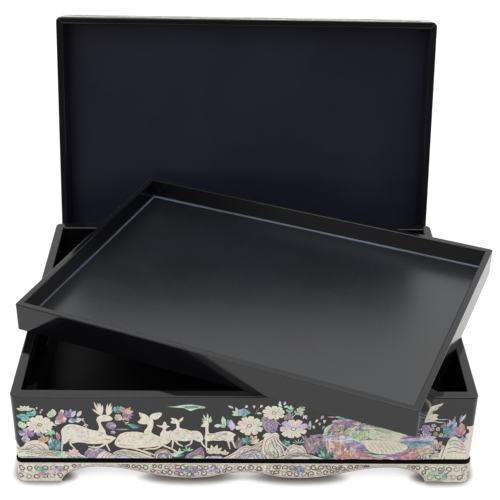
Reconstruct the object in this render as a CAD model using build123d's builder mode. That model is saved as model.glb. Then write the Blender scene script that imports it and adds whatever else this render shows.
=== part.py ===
"""A lacquered document box on a scalloped plinth, with a lift-out tray and a lift-off lid.

The box stands open. Its tray lies askew across the rim, and its lid stands on the table behind
the box, leaning back, with its hollow side to the front. Every frame of boards has its corners
mitred: plinth, bead, walls, ledges, tray and lid. The frames are the same form at several sizes,
so one function makes a side of any of them, on the plane that the frame stands on.
All sizes are in millimetres. The origin is on the table, under the middle of the whole set.
"""
from build123d import *
from math import cos, radians, sin
import os

os.makedirs("parts", exist_ok=True)

# Box: outer footprint, boards and rounding
box_width = 350.0
box_depth = 256.0
wall_board = 8.0
wall_height = 61.0
corner_radius = 4.5
rim_easing = 1.0
floor_board = 5.5

# Plinth: four scalloped aprons round glued corner blocks
plinth_height = 18.5
plinth_board = 9.0
plinth_proud = 1.0
foot_length = 34.5
foot_easing = 2.0
arch_height = 15.2
arch_share = 0.2
arch_steepness = 9.5
lobe_height = 3.5
lobe_share = 0.707
centre_height = 9.9
block_side = 16.0
block_setback = 1.5

# Bead between plinth and walls: it carries the walls and the edge of the floor
bead_height = 3.5
bead_width = 14.0
bead_rounding = 1.4

# Ledges inside the walls, which the tray sits on when it is put away
ledge_board = 4.5
ledge_easing = 0.6
tray_below_rim = 0.2

# Tray: its walls are grooved for the floor board
tray_clearance = 1.0
tray_height = 24.0
tray_board = 5.4
tray_corner = 2.0
tray_easing = 0.8
tray_floor_board = 4.0
tray_groove_low = 2.5
tray_groove_depth = 2.6
tray_turn = -23.2
tray_right = 16.4
tray_back = 1.9

# Lid: as wide and as deep as the box, panel over four walls
lid_wall_height = 32.0
lid_board = 6.0
lid_panel_board = 5.0
lid_rounding = 2.0
lid_lean = 16.2
lid_turn = -1.05
lid_gap = 0.6

# Names of a frame's four sides and the way each one faces
sides = {"front": (0, -1), "right": (1, 0), "back": (0, 1), "left": (-1, 0)}

# Heights above the table
bead_base = plinth_height
wall_base = bead_base + bead_height
rim_height = wall_base + wall_height
floor_top = wall_base + floor_board
ledge_top = rim_height - tray_height - tray_below_rim

# Sizes that follow
plinth_width = box_width + 2 * plinth_proud
plinth_depth = box_depth + 2 * plinth_proud
inner_width = box_width - 2 * wall_board
inner_depth = box_depth - 2 * wall_board
tray_width = inner_width - 2 * tray_clearance
tray_depth = inner_depth - 2 * tray_clearance
lid_height = lid_wall_height + lid_panel_board
lean = radians(lid_lean)
turn = radians(lid_turn)
askew = radians(tray_turn)

# The lid's own directions: along its width, up its leaning face and out of its hollow side
lid_backward = Vector(-sin(turn), cos(turn), 0)
lid_side = Vector(cos(turn), sin(turn), 0)
lid_up = lid_backward * sin(lean) + Vector(0, 0, 1) * cos(lean)
lid_out = Vector(0, 0, 1) * sin(lean) - lid_backward * cos(lean)

# The rounded lower edge of the leaning panel touches the table
lid_rim_back = plinth_depth / 2 + lid_gap + box_width / 2 * abs(sin(turn))
lid_sink = lid_rounding * (cos(lean) + sin(lean) - 1)
lid_foot = Vector(0, lid_rim_back, -lid_sink) + lid_backward * (lid_height * cos(lean))

# The tray reaches furthest left, right and forward, and the top of the lid furthest back
tray_reach_side = (tray_width * cos(askew) + tray_depth * abs(sin(askew))) / 2
tray_reach_front = (tray_width * abs(sin(askew)) + tray_depth * cos(askew)) / 2
lid_reach_back = lid_foot.Y + box_depth * sin(lean) + box_width / 2 * abs(sin(turn))
set_front = tray_back - tray_reach_front
box_x = -tray_right
box_y = -(set_front + lid_reach_back) / 2

# The planes that the box, the tray and the lid are built on
box_plane = Plane((box_x, box_y, 0))
tray_plane = Plane((box_x + tray_right, box_y + tray_back, rim_height)).rotated((0, 0, tray_turn))
lid_plane = Plane(Vector(box_x, box_y, 0) + lid_foot + lid_up * (box_depth / 2), lid_side, lid_out)


def save(piece, name):
    """Label a finished piece and write it to its own file."""
    piece.part.label = name
    export_step(piece.part, f"parts/{name}.step")


def side_corners(width, depth, reach, facing):
    """The mitred ground plan of one side of a frame, from just outside it to reach inside it."""
    out_x, out_y = facing
    along_x, along_y = -out_y, out_x
    half_length = (width if out_y else depth) / 2
    half_across = (depth if out_y else width) / 2
    margin = 1.0
    corners = [
        (-half_length - margin, half_across + margin),
        (half_length + margin, half_across + margin),
        (half_length - reach, half_across - reach),
        (reach - half_length, half_across - reach),
    ]
    return [(a * along_x + b * out_x, a * along_y + b * out_y) for a, b in corners]


def side_plan(plane, width, depth, reach, facing):
    """The face that one mitred side of a frame covers, seen square to the plane."""
    with BuildSketch(plane) as plan:
        with BuildLine():
            Polyline(*side_corners(width, depth, reach, facing), close=True)
        make_face()
    return plan.sketch


def frame_side(plane, width, depth, board, height, facing, corner, easing):
    """One mitred board of a four-sided frame, with eased upper edges."""
    with BuildPart() as piece:
        with BuildSketch(plane):
            RectangleRounded(width, depth, corner)
            Rectangle(width - 2 * board, depth - 2 * board, mode=Mode.SUBTRACT)
        extrude(amount=height)
        upper = piece.faces().sort_by(Axis(plane.origin, plane.z_dir))[-1]
        fillet(upper.edges(), easing)
        plan = side_plan(plane, width, depth, board + corner, facing)
        extrude(plan, amount=height, mode=Mode.INTERSECT)
    return piece


def scallop(half_length):
    """Half of an apron's lower edge: up from the foot to the arch, down to the lobe, up to the centre."""
    span = half_length - foot_length
    arch_x = half_length - foot_length - arch_share * span
    lobe_x = half_length - foot_length - lobe_share * span
    bend = (arch_x - lobe_x) * 0.42
    Bezier(
        (span, 0),
        (span - foot_easing, arch_steepness),
        (arch_x + (span - arch_x) * 0.5, arch_height),
        (arch_x, arch_height),
    )
    Bezier(
        (arch_x, arch_height),
        (arch_x - bend, arch_height),
        (lobe_x + bend, lobe_height),
        (lobe_x, lobe_height),
    )
    Bezier(
        (lobe_x, lobe_height),
        (lobe_x * 0.5, lobe_height),
        (lobe_x * 0.4, centre_height),
        (0, centre_height),
    )


# Plinth aprons, with the scalloped lower edge cut through each board
for side, facing in sides.items():
    face_length = plinth_width if facing[1] else plinth_depth
    face_out = (plinth_depth if facing[1] else plinth_width) / 2
    face_plane = Plane(
        (box_x + facing[0] * face_out, box_y + facing[1] * face_out, 0),
        (-facing[1], facing[0], 0),
        (facing[0], facing[1], 0),
    )
    with BuildPart() as apron:
        with BuildSketch(box_plane):
            RectangleRounded(plinth_width, plinth_depth, corner_radius + plinth_proud)
            Rectangle(plinth_width - 2 * plinth_board, plinth_depth - 2 * plinth_board, mode=Mode.SUBTRACT)
        extrude(amount=plinth_height)
        plan = side_plan(box_plane, plinth_width, plinth_depth, plinth_board, facing)
        extrude(plan, amount=plinth_height, mode=Mode.INTERSECT)
        with BuildSketch(face_plane):
            with BuildLine():
                scallop(face_length / 2)
                mirror(about=Plane.YZ)
                Line((foot_length - face_length / 2, 0), (face_length / 2 - foot_length, 0))
            make_face()
        extrude(amount=-plinth_board, mode=Mode.SUBTRACT)
    save(apron, f"plinth_{side}")

# Glue blocks in the four inner corners of the plinth
block_x = plinth_width / 2 - plinth_board - block_side / 2
block_y = plinth_depth / 2 - plinth_board - block_side / 2
block_places = {
    "front_left": (-block_x, -block_y),
    "front_right": (block_x, -block_y),
    "back_right": (block_x, block_y),
    "back_left": (-block_x, block_y),
}
for corner, (x, y) in block_places.items():
    with BuildPart() as block:
        with BuildSketch(box_plane.offset(block_setback)):
            with Locations((x, y)):
                Rectangle(block_side, block_side)
        extrude(amount=plinth_height - block_setback)
        inward = block.edges().filter_by(Axis.Z).sort_by_distance((box_x, box_y, plinth_height))[0]
        chamfer(inward, block_side / 3)
    save(block, f"glue_block_{corner}")

# Bead: a black moulding with a rounded outer edge
for side, facing in sides.items():
    with BuildPart() as bead:
        with BuildSketch(box_plane.offset(bead_base)):
            RectangleRounded(plinth_width, plinth_depth, corner_radius + plinth_proud)
            Rectangle(plinth_width - 2 * bead_width, plinth_depth - 2 * bead_width, mode=Mode.SUBTRACT)
        extrude(amount=bead_height)
        upper = bead.faces().sort_by(Axis.Z)[-1].outer_wire().edges()
        lower = bead.faces().sort_by(Axis.Z)[0].outer_wire().edges()
        fillet(upper + lower, bead_rounding)
        plan = side_plan(box_plane.offset(bead_base), plinth_width, plinth_depth, bead_width, facing)
        extrude(plan, amount=bead_height, mode=Mode.INTERSECT)
    save(bead, f"bead_{side}")

# Walls of the box
for side, facing in sides.items():
    wall = frame_side(
        box_plane.offset(wall_base),
        box_width,
        box_depth,
        wall_board,
        wall_height,
        facing,
        corner_radius,
        rim_easing,
    )
    save(wall, f"{side}_wall")

# Floor of the box, let in between the walls and resting on the bead
with BuildPart() as box_floor:
    with BuildSketch(box_plane.offset(wall_base)):
        Rectangle(inner_width, inner_depth)
    extrude(amount=floor_board)
save(box_floor, "box_floor")

# Ledges: lining boards that stand on the floor against the walls
for side, facing in sides.items():
    with BuildPart() as ledge:
        with BuildSketch(box_plane.offset(floor_top)):
            Rectangle(inner_width, inner_depth)
            Rectangle(inner_width - 2 * ledge_board, inner_depth - 2 * ledge_board, mode=Mode.SUBTRACT)
        extrude(amount=ledge_top - floor_top)
        inner_edge = ledge.faces().sort_by(Axis.Z)[-1].inner_wires()[0].edges()
        fillet(inner_edge, ledge_easing)
        plan = side_plan(box_plane.offset(floor_top), inner_width, inner_depth, ledge_board, facing)
        extrude(plan, amount=ledge_top - floor_top, mode=Mode.INTERSECT)
    save(ledge, f"ledge_{side}")

# Walls of the tray, each grooved for the floor board
for side, facing in sides.items():
    with BuildPart() as tray_wall:
        with BuildSketch(tray_plane):
            RectangleRounded(tray_width, tray_depth, tray_corner)
            Rectangle(tray_width - 2 * tray_board, tray_depth - 2 * tray_board, mode=Mode.SUBTRACT)
        extrude(amount=tray_height)
        fillet(tray_wall.faces().sort_by(Axis.Z)[-1].edges(), tray_easing)
        with BuildSketch(tray_plane.offset(tray_groove_low)):
            Rectangle(
                tray_width - 2 * (tray_board - tray_groove_depth),
                tray_depth - 2 * (tray_board - tray_groove_depth),
            )
        extrude(amount=tray_floor_board, mode=Mode.SUBTRACT)
        plan = side_plan(tray_plane, tray_width, tray_depth, tray_board, facing)
        extrude(plan, amount=tray_height, mode=Mode.INTERSECT)
    save(tray_wall, f"tray_{side}")

# Floor of the tray, held in the grooves
with BuildPart() as tray_floor:
    with BuildSketch(tray_plane.offset(tray_groove_low)):
        Rectangle(
            tray_width - 2 * (tray_board - tray_groove_depth),
            tray_depth - 2 * (tray_board - tray_groove_depth),
        )
    extrude(amount=tray_floor_board)
save(tray_floor, "tray_floor")

# Lid panel, over the lid's walls, with rounded edges on its outer face
with BuildPart() as lid_panel:
    with BuildSketch(lid_plane):
        RectangleRounded(box_width, box_depth, corner_radius)
    extrude(amount=lid_panel_board)
    outer_face = lid_panel.faces().sort_by(Axis(lid_plane.origin, lid_plane.z_dir))[0]
    fillet(outer_face.edges(), lid_rounding)
save(lid_panel, "lid_panel")

# Walls of the lid, standing on the inside of the panel
for side, facing in sides.items():
    wall = frame_side(
        lid_plane.offset(lid_panel_board),
        box_width,
        box_depth,
        lid_board,
        lid_wall_height,
        facing,
        corner_radius,
        rim_easing,
    )
    save(wall, {"front": "lid_lower", "back": "lid_upper"}.get(side, f"lid_{side}"))
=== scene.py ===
# %% [markdown]
# A black lacquered box for papers, inlaid with mother-of-pearl, standing open. Its tray lies askew
# across the rim and its lid leans behind it. The boards are already made and packed as a frame.
# This lesson gives them their lacquer and cuts the shell, piece by piece, as an inlayer does.

# %% Load the boards
import random
from math import atan2, cos, exp, hypot, pi, radians, sin

import bmesh
import bpy
from mathutils import Matrix, Vector
from mathutils.geometry import delaunay_2d_cdt


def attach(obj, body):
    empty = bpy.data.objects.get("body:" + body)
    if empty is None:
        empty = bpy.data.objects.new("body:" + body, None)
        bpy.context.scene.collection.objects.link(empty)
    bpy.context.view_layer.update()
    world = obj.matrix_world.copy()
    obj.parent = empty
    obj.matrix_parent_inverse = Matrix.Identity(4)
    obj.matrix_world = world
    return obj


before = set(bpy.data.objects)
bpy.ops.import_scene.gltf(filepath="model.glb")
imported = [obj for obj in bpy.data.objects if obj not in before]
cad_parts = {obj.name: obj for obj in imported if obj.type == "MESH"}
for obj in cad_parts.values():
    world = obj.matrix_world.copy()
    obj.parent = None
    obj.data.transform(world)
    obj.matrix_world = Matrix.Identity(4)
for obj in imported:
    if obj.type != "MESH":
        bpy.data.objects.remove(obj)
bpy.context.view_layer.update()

MM = 0.001

# %% [markdown]
# The picture was taken with a long lens from above the front. The camera's tilt and place were worked
# out from the corners of the rim, the tray and the plinth, so a corner of the box falls where it
# should. The lens is given by its focal length in pixels of the 500 pixel picture.

# %% Camera
picture_width = 500
focal_pixels = 1121.7
sensor_width = 36.0
camera_place = Vector((-24.1, -818.05, 610.64)) * MM
camera_down, camera_yaw, camera_roll = radians(31.382), radians(-0.88), radians(0.799)


def make_camera():
    """Looks along +Y, tilted down, then swung and rolled a little."""
    data = bpy.data.cameras.new("studio_camera")
    data.sensor_width = sensor_width
    data.lens = focal_pixels * sensor_width / picture_width
    data.clip_start, data.clip_end = 0.05, 50
    camera = bpy.data.objects.new("studio_camera", data)
    swing = Matrix.Rotation(camera_yaw, 4, "Z")
    tilt = Matrix.Rotation(pi / 2 - camera_down, 4, "X")
    roll = Matrix.Rotation(camera_roll, 4, "Z")
    camera.matrix_world = Matrix.Translation(camera_place) @ swing @ tilt @ roll
    bpy.context.scene.collection.objects.link(camera)
    bpy.context.scene.camera = camera
    return camera


camera = make_camera()
print("lens in mm:", round(camera.data.lens, 2))

# %% [markdown]
# A material is a small graph of nodes. These helpers add a node, set its sockets and join it up, so
# that each finish below reads as a short recipe. Colours are written as a painter's hex codes and
# turned into the linear light values that the renderer works in.

# %% Helpers for materials
def colour(code):
    """Linear red, green, blue and full cover from a hex code such as e8dfcf."""
    parts = [int(code[i:i + 2], 16) / 255 for i in (0, 2, 4)]
    return tuple(p / 12.92 if p <= 0.04045 else ((p + 0.055) / 1.055) ** 2.4 for p in parts) + (1.0,)


class Graph:
    """The nodes of a material or of the room, and short ways to add, fill and join them."""

    def __init__(self, tree):
        self.tree = tree

    def node(self, kind, **settings):
        made = self.tree.nodes.new(kind)
        for name, value in settings.items():
            setattr(made, name, value)
        return made

    def join(self, output, entry):
        self.tree.links.new(output, entry)

    def fill(self, entries, values):
        """Sets each entry where its value is a plain one, and else joins the value to it."""
        for entry, value in zip(entries, values):
            if isinstance(value, (float, tuple)):
                entry.default_value = value
            else:
                self.join(value, entry)

    def fade(self, source, start, end, low, high):
        """A level that goes smoothly from low to high as the source passes from start to end."""
        spread = self.node("ShaderNodeMapRange", interpolation_type="SMOOTHSTEP")
        for name, value in (("From Min", start), ("From Max", end), ("To Min", low), ("To Max", high)):
            spread.inputs[name].default_value = value
        self.join(source, spread.inputs["Value"])
        return spread.outputs["Result"]


class Recipe(Graph):
    """A new material with its shader, and short ways to add what feeds it."""

    def __init__(self, name):
        self.material = bpy.data.materials.new(name)
        self.material.use_nodes = True
        super().__init__(self.material.node_tree)
        self.shader = self.tree.nodes["Principled BSDF"]
        self.place = self.node("ShaderNodeTexCoord").outputs["Object"]

    def set(self, **values):
        for name, value in values.items():
            self.shader.inputs[name.replace("_", " ").title().replace("Ior", "IOR")].default_value = value

    def noise(self, scale, detail=3.0, stretch=(1, 1, 1), distortion=0.0):
        """Cloudy noise. scale is in features to the metre, and stretch squeezes it along an axis."""
        mapping = self.node("ShaderNodeMapping")
        mapping.inputs["Scale"].default_value = stretch
        cloud = self.node("ShaderNodeTexNoise")
        cloud.inputs["Scale"].default_value = scale
        cloud.inputs["Detail"].default_value = detail
        cloud.inputs["Distortion"].default_value = distortion
        self.join(self.place, mapping.inputs["Vector"])
        self.join(mapping.outputs["Vector"], cloud.inputs["Vector"])
        return cloud.outputs["Fac"]

    def ramp(self, source, stops):
        """Colours by a value: stops are (place, colour) pairs."""
        ramp = self.node("ShaderNodeValToRGB")
        ramp.color_ramp.interpolation = "EASE"
        while len(ramp.color_ramp.elements) < len(stops):
            ramp.color_ramp.elements.new(0.5)
        for element, (place, tone) in zip(ramp.color_ramp.elements, stops):
            element.position, element.color = place, tone
        self.join(source, ramp.inputs["Fac"])
        return ramp.outputs["Color"]

    def spread(self, source, low, high):
        """Stretches a value from 0..1 over low..high."""
        spread = self.node("ShaderNodeMapRange")
        spread.inputs["To Min"].default_value = low
        spread.inputs["To Max"].default_value = high
        self.join(source, spread.inputs["Value"])
        return spread.outputs["Result"]

    def sum(self, first, second, operation="ADD"):
        maths = self.node("ShaderNodeMath", operation=operation)
        self.fill(maths.inputs, (first, second))
        return maths.outputs["Value"]

    def blend(self, factor, first, second, mode="MIX"):
        mix = self.node("ShaderNodeMix", data_type="RGBA", blend_type=mode)
        self.fill((mix.inputs[0], mix.inputs[6], mix.inputs[7]), (factor, first, second))
        return mix.outputs[2]

    def bump(self, height, strength, depth, rounded=0.0):
        """Waves the surface a little. rounded softens sharp edges by that radius, as rubbing does."""
        bump = self.node("ShaderNodeBump")
        if rounded:
            edges = self.node("ShaderNodeBevel", samples=6)
            edges.inputs["Radius"].default_value = rounded
            self.join(edges.outputs["Normal"], bump.inputs["Normal"])
        bump.inputs["Strength"].default_value = strength
        bump.inputs["Distance"].default_value = depth
        self.join(height, bump.inputs["Height"])
        self.join(bump.outputs["Normal"], self.shader.inputs["Normal"])


print("first colour:", [round(c, 3) for c in colour("e8dfcf")])

# %% [markdown]
# The object stands in a white studio: a pale table, pale walls behind and above, and a darker room
# behind the camera, which is what the hollow of the lid mirrors. Lacquer is a mirror for all of
# these, so the surroundings are drawn for mirrored rays too. The table keeps the soft shadow.

# %% Table, room and lamps
table_size = 6.0
table_drop = 0.0003
table_glow = 0.95
table_mirrored = 0.47
room_light = 0.72
room_mirrored = 1.1


def make_table():
    """A white table whose glow dims where the plinth stands close over it, so that it keeps a shadow."""
    recipe = Recipe("pale_table")
    recipe.set(roughness=0.9, specular_ior_level=0.1)

    def nearness(distance, hidden, clear, dimmest):
        """Dims from 1 to dimmest as less of the sky within this distance is clear."""
        sky = recipe.node("ShaderNodeAmbientOcclusion", samples=24)
        sky.inputs["Distance"].default_value = distance
        return recipe.fade(sky.outputs["AO"], hidden, clear, dimmest, 1.0)

    glow = recipe.node("ShaderNodeEmission")
    rays = recipe.node("ShaderNodeLightPath")
    paint = recipe.blend(rays.outputs["Is Camera Ray"], colour("d8d6d4"), colour("7d7977"))
    recipe.join(paint, recipe.shader.inputs["Base Color"])
    mirrored = recipe.sum(rays.outputs["Is Glossy Ray"], table_mirrored, "MULTIPLY")
    seen = recipe.sum(recipe.sum(rays.outputs["Is Camera Ray"], mirrored),
        rays.outputs["Is Transmission Ray"])
    grain = recipe.spread(recipe.noise(900.0), 0.98, 1.0)
    shade = recipe.sum(nearness(0.012, 0.52, 0.92, 0.2), nearness(0.03, 0.15, 0.6, 0.25), "MULTIPLY")
    recipe.join(recipe.ramp(shade, [(0.0, colour("d8cfc8")), (0.7, colour("ffffff"))]), glow.inputs["Color"])
    strength = recipe.sum(recipe.sum(seen, table_glow, "MULTIPLY"), recipe.sum(shade, grain, "MULTIPLY"),
        "MULTIPLY")
    recipe.join(strength, glow.inputs["Strength"])
    both = recipe.node("ShaderNodeAddShader")
    recipe.join(recipe.shader.outputs[0], both.inputs[0])
    recipe.join(glow.outputs[0], both.inputs[1])
    recipe.join(both.outputs[0], recipe.tree.nodes["Material Output"].inputs["Surface"])
    half = table_size / 2
    mesh = bpy.data.meshes.new("table")
    corners = [(-half, -half), (half, -half), (half, half), (-half, half)]
    mesh.from_pydata([(x, y, -table_drop) for x, y in corners], [], [(0, 1, 2, 3)])
    table = bpy.data.objects.new("table", mesh)
    mesh.materials.append(recipe.material)
    bpy.context.scene.collection.objects.link(table)


def make_room():
    """White for the camera, soft light for surfaces, and for mirrors dark on the camera's side."""
    world = bpy.data.worlds.new("studio")
    bpy.context.scene.world = world
    world.use_nodes = True
    graph = Graph(world.node_tree)
    backdrop = graph.tree.nodes["Background"]

    def chosen(switch, low, high):
        mix = graph.node("ShaderNodeMix", data_type="FLOAT")
        graph.fill((mix.inputs[0], mix.inputs[2], mix.inputs[3]), (switch, low, high))
        return mix.outputs[0]

    direction = graph.node("ShaderNodeSeparateXYZ")
    graph.join(graph.node("ShaderNodeTexCoord").outputs["Generated"], direction.inputs[0])
    above = graph.fade(direction.outputs["Z"], 0.80, 0.97, 0.0, 1.0)
    behind = graph.fade(direction.outputs["Y"], -0.55, 0.25, 0.10, room_mirrored)
    mirrored = chosen(above, behind, room_mirrored)
    rays = graph.node("ShaderNodeLightPath")
    strength = chosen(rays.outputs["Is Glossy Ray"], room_light, mirrored)
    strength = chosen(rays.outputs["Is Transmission Ray"], strength, 1.0)
    strength = chosen(rays.outputs["Is Camera Ray"], strength, 1.0)
    graph.join(strength, backdrop.inputs["Strength"])
    backdrop.inputs["Color"].default_value = (1, 1, 1, 1)


def make_lamp(name, place, target, size, power):
    """A square softbox that faces its target."""
    data = bpy.data.lights.new(name, "AREA")
    data.size, data.energy = size, power
    lamp = bpy.data.objects.new(name, data)
    lamp.location = place
    lamp.rotation_mode = "QUATERNION"
    lamp.rotation_quaternion = (Vector(target) - Vector(place)).to_track_quat("-Z", "Y")
    bpy.context.scene.collection.objects.link(lamp)


make_table()
make_room()
make_lamp("softbox_front", (-0.7, -1.3, 1.5), (0, -0.1, 0.05), 1.2, 16)
make_lamp("softbox_above", (0.5, 0.3, 1.9), (0, 0, 0.1), 1.4, 10)
bpy.context.scene.view_settings.view_transform = "Standard"

# %% [markdown]
# The lacquer is black, deep and polished outside, with a softer sheen inside the tray and lid. A
# craftsman rubs it down by hand, so its gloss drifts a little from place to place and its surface
# waves very slightly. Noise on the roughness and a faint bump give both. The blocks under the floor
# are bare wood, with growth rings stretched along the board.

# %% Lacquer and wood
def lacquer(name, tone, other, gloss, drift, wave, specular=0.5):
    recipe = Recipe(name + "_lacquer")
    recipe.set(specular_ior_level=specular)
    tint = recipe.ramp(recipe.noise(14.0), [(0.35, colour(tone)), (0.65, colour(other))])
    recipe.join(tint, recipe.shader.inputs["Base Color"])
    recipe.join(recipe.spread(recipe.noise(35.0), gloss - drift, gloss + drift),
        recipe.shader.inputs["Roughness"])
    recipe.bump(recipe.noise(60.0), wave, 0.0002, rounded=0.0007)
    return recipe.material


def bare_wood():
    recipe = Recipe("bare_wood")
    rings = recipe.noise(60.0, detail=6.0, stretch=(1, 1, 0.1), distortion=0.6)
    recipe.join(recipe.ramp(rings, [(0.3, colour("8d6a45")), (0.7, colour("c9a678"))]),
                recipe.shader.inputs["Base Color"])
    recipe.join(recipe.spread(rings, 0.55, 0.75), recipe.shader.inputs["Roughness"])
    recipe.bump(rings, 0.2, 0.0003)
    return recipe.material


lacquers = {name: lacquer(name, *measures) for name, *measures in (
    ("polished", "0b0b0d", "0e0e11", 0.07, 0.02, 0.02),
    ("tray", "0c0d10", "0e0e11", 0.12, 0.03, 0.02),
    # The tray floor: dark satin lacquer whose blue-grey base is partly its own tone and partly a painted
    # bluish reflection.
    ("satin", "14181f", "131519", 0.27, 0.04, 0.05, 0.8),
    ("floor", "09090b", "0e0e11", 0.45, 0.05, 0.05, 0.3),
    ("lid", "1e1e2c", "1a1a27", 0.2, 0.04, 0.02),
    # the cove: a pale blue-grey base colour that paints a highlight line round the tray's floor
    ("painted_highlight_cove", "465468", "363e4c", 0.16, 0.03, 0.02),
    ("bead", "05050a", "0e0e11", 0.5, 0.05, 0.02, 0.02))}
block_wood = bare_wood()


def finish_of(node):
    """The finish of a board: the first whose words begin the board's name, or else polished."""
    for start, finish in (
            ("glue_block", block_wood), ("tray_floor", lacquers["satin"]),
            ("box_floor", lacquers["floor"]), ("tray", lacquers["tray"]),
            ("lid_panel", lacquers["lid"]), ("bead", lacquers["bead"])):
        if node.startswith(start):
            return finish
    return lacquers["polished"]


for name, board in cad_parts.items():
    board.data.materials.clear()
    board.data.materials.append(finish_of(name))
print("lacquered:", len(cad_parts), "boards")

# %% [markdown]
# Mother-of-pearl is layered shell. Under polish it drifts from cream into pink and green, and no two
# pieces match, because each is sawn from another part of the shell. Each tint below is a ramp of
# neighbouring colours. A cloud of noise and a random number for each cut piece choose the place on
# the ramp, and a thin film on the shader adds the play of colour in its gloss.

# %% Shell in fifteen tints
tint_colours = {
    "cream": ("f2e5d3", "ecd8c8", "e9ddcb", "e3dfc8", "e8d9da"),
    "blush": ("e8cfc8", "f0ddd2", "e3c0c0", "efdccb", "e6cdd6"),
    "sage": ("d6dec4", "e4e4cc", "c9d6ba", "e0e0c6", "d2dac6"),
    "lilac": ("cfc4dc", "ddd4e4", "bcb0d4", "d8cfe0", "c8c4dc"),
    "pearl": ("e8e6e8", "d9dde6", "e9dfe6", "d8e4dc", "f0ece2"),
    "rose": ("c98a9c", "d9a3ab", "b9708c", "dcb7b0", "c07f9c"),
    "violet": ("a184ae", "b79ac0", "86689a", "b08ab0", "9a90c0"),
    "mauve": ("a08a98", "b7a2aa", "86707f", "c2b0b2", "947f92"),
    "teal": ("5fb0b6", "7fc4bc", "4c8f9a", "9accc6", "58a89c"),
    "lime": ("c8d084", "aecb7a", "d6d89c", "9cc486", "c2cc8c"),
    "mint": ("a4cfa6", "c4ddb6", "86c09a", "cfe0c4", "98cdb0"),
    "moss": ("4f6f62", "6d8a76", "3f5a58", "8a9a7c", "5f7a6a"),
    "gold": ("cfa07c", "dcbc90", "c08a72", "d4c890", "d8ae98"),
    "blue": ("7f90b8", "9cadcd", "646f98", "a8bccd", "7a84b0"),
    "umber": ("5f423f", "73544c", "53404e", "685843", "5c403a"),
}


def shell(tint, codes):
    recipe = Recipe(tint + "_shell")
    own = recipe.node("ShaderNodeNewGeometry").outputs["Random Per Island"]
    cloud = recipe.spread(recipe.noise(140.0, detail=2.0, distortion=1.5), -0.35, 1.05)
    drift = recipe.sum(cloud, recipe.sum(own, 0.45, "MULTIPLY"))
    stops = [(i / (len(codes) - 1), colour(code)) for i, code in enumerate(codes)]
    ground = recipe.ramp(drift, stops)
    growth = recipe.noise(700.0, detail=4.0, stretch=(1.0, 1.0, 0.25), distortion=0.8)
    streak = recipe.ramp(growth, [(0.35, colour("c9c3bd")), (0.6, colour("ffffff"))])
    recipe.join(recipe.blend(0.35, ground, streak, "MULTIPLY"), recipe.shader.inputs["Base Color"])
    recipe.join(recipe.spread(growth, 0.22, 0.4), recipe.shader.inputs["Roughness"])
    recipe.bump(growth, 0.12, 0.0001)
    recipe.set(coat_weight=0.5, coat_roughness=0.06)
    recipe.shader.inputs["Thin Film Thickness"].default_value = 420.0
    return recipe.material


def engraved():
    """The dark lacquer left in a sawn gap or rubbed into an engraved line."""
    recipe = Recipe("engraved_line")
    tone = recipe.ramp(recipe.noise(200.0), [(0.3, colour("3b2c2a")), (0.7, colour("2a2630"))])
    recipe.join(tone, recipe.shader.inputs["Base Color"])
    recipe.join(recipe.spread(recipe.noise(80.0), 0.15, 0.3), recipe.shader.inputs["Roughness"])
    return recipe.material


finishes = {tint: shell(tint, codes) for tint, codes in tint_colours.items()}
finishes["line"] = engraved()
finishes["gap"] = lacquers["polished"]
# the cove's finish is the pale blue-grey lacquer, a painted highlight
finishes["painted_highlight_cove"] = lacquers["painted_highlight_cove"]
print("shell tints:", ", ".join(tint_colours))

# %% [markdown]
# Each side of the box is a flat face with rounded ends. The inlayer draws on it in millimetres: so
# far along from the middle, so far up from its foot. This class turns such a place into a point in
# the model, and carries a drawing round the corner where it runs past the flat.

# %% A face to draw on
class Face:
    def __init__(self, foot, along, up, length, radius=4.5):
        self.foot, self.along, self.up = foot, along.normalized(), up.normalized()
        self.out = self.along.cross(self.up)
        self.length, self.radius = length, radius
        self.flat = length / 2 - radius

    def point(self, along, up, lift):
        """The point at that place, lifted off the surface, all in millimetres."""
        over = abs(along) - self.flat
        side, depth = along, lift
        if over > 0:
            angle = min(over / self.radius, pi / 2)
            reach = self.radius + lift
            side = (self.flat + reach * sin(angle)) * (1 if along > 0 else -1)
            depth = reach * cos(angle) - self.radius - max(0.0, over - self.radius * pi / 2)
        return self.foot + (self.along * side + self.up * up + self.out * depth) * MM

    def corner_lines(self, steps=6):
        """The places along the face where a drawing is creased to go round a corner."""
        arc = self.radius * pi / 2
        return [s * (self.flat + arc * i / steps) for s in (-1, 1) for i in range(steps + 1)]


def span(names, axis):
    """Least and greatest reach of these boards along a direction, in metres."""
    reach = [v.co.dot(axis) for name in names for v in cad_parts[name].data.vertices]
    return min(reach), max(reach)


X, Y, Z = Vector((1, 0, 0)), Vector((0, 1, 0)), Vector((0, 0, 1))
side_ways = {"front": -Y, "right": X, "back": Y, "left": -X}


def block_face(names, out, up, radius):
    """The outer face, on the side that out points to, of boards that make one block."""
    along = up.cross(out)
    left, right = span(names, along)
    foot = along * (left + right) / 2 + up * span(names, up)[0] + out * span(names, out)[1]
    return Face(foot, along, up, (right - left) / MM, radius)


def faces_of(pattern, radius):
    """The four outer faces of a frame of boards named by a pattern such as {}_wall."""
    names = [pattern.format(side) for side in side_ways]
    return {side: block_face(names, out, Z, radius) for side, out in side_ways.items()}


wall_radius = 4.5
walls = faces_of("{}_wall", wall_radius)
aprons = faces_of("plinth_{}", wall_radius + 1.0)
print("front face in mm:", round(walls["front"].length, 1), "apron:", round(aprons["front"].length, 1))

# %% [markdown]
# In the tray a narrow cove of lacquer fills the corner where the floor meets the walls. It keeps
# dust out of the corner, and its curve catches the lamp. Its lacquer is a pale blue-grey, a painted
# highlight, so that it shows as a thin bright line round the floor. It is swept round the floor with
# mitred corners, a little sunk into the boards that it joins.

# %% Cove round the tray's floor
cove_radius = 1.3
tray_turn = radians(-23.2)


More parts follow.
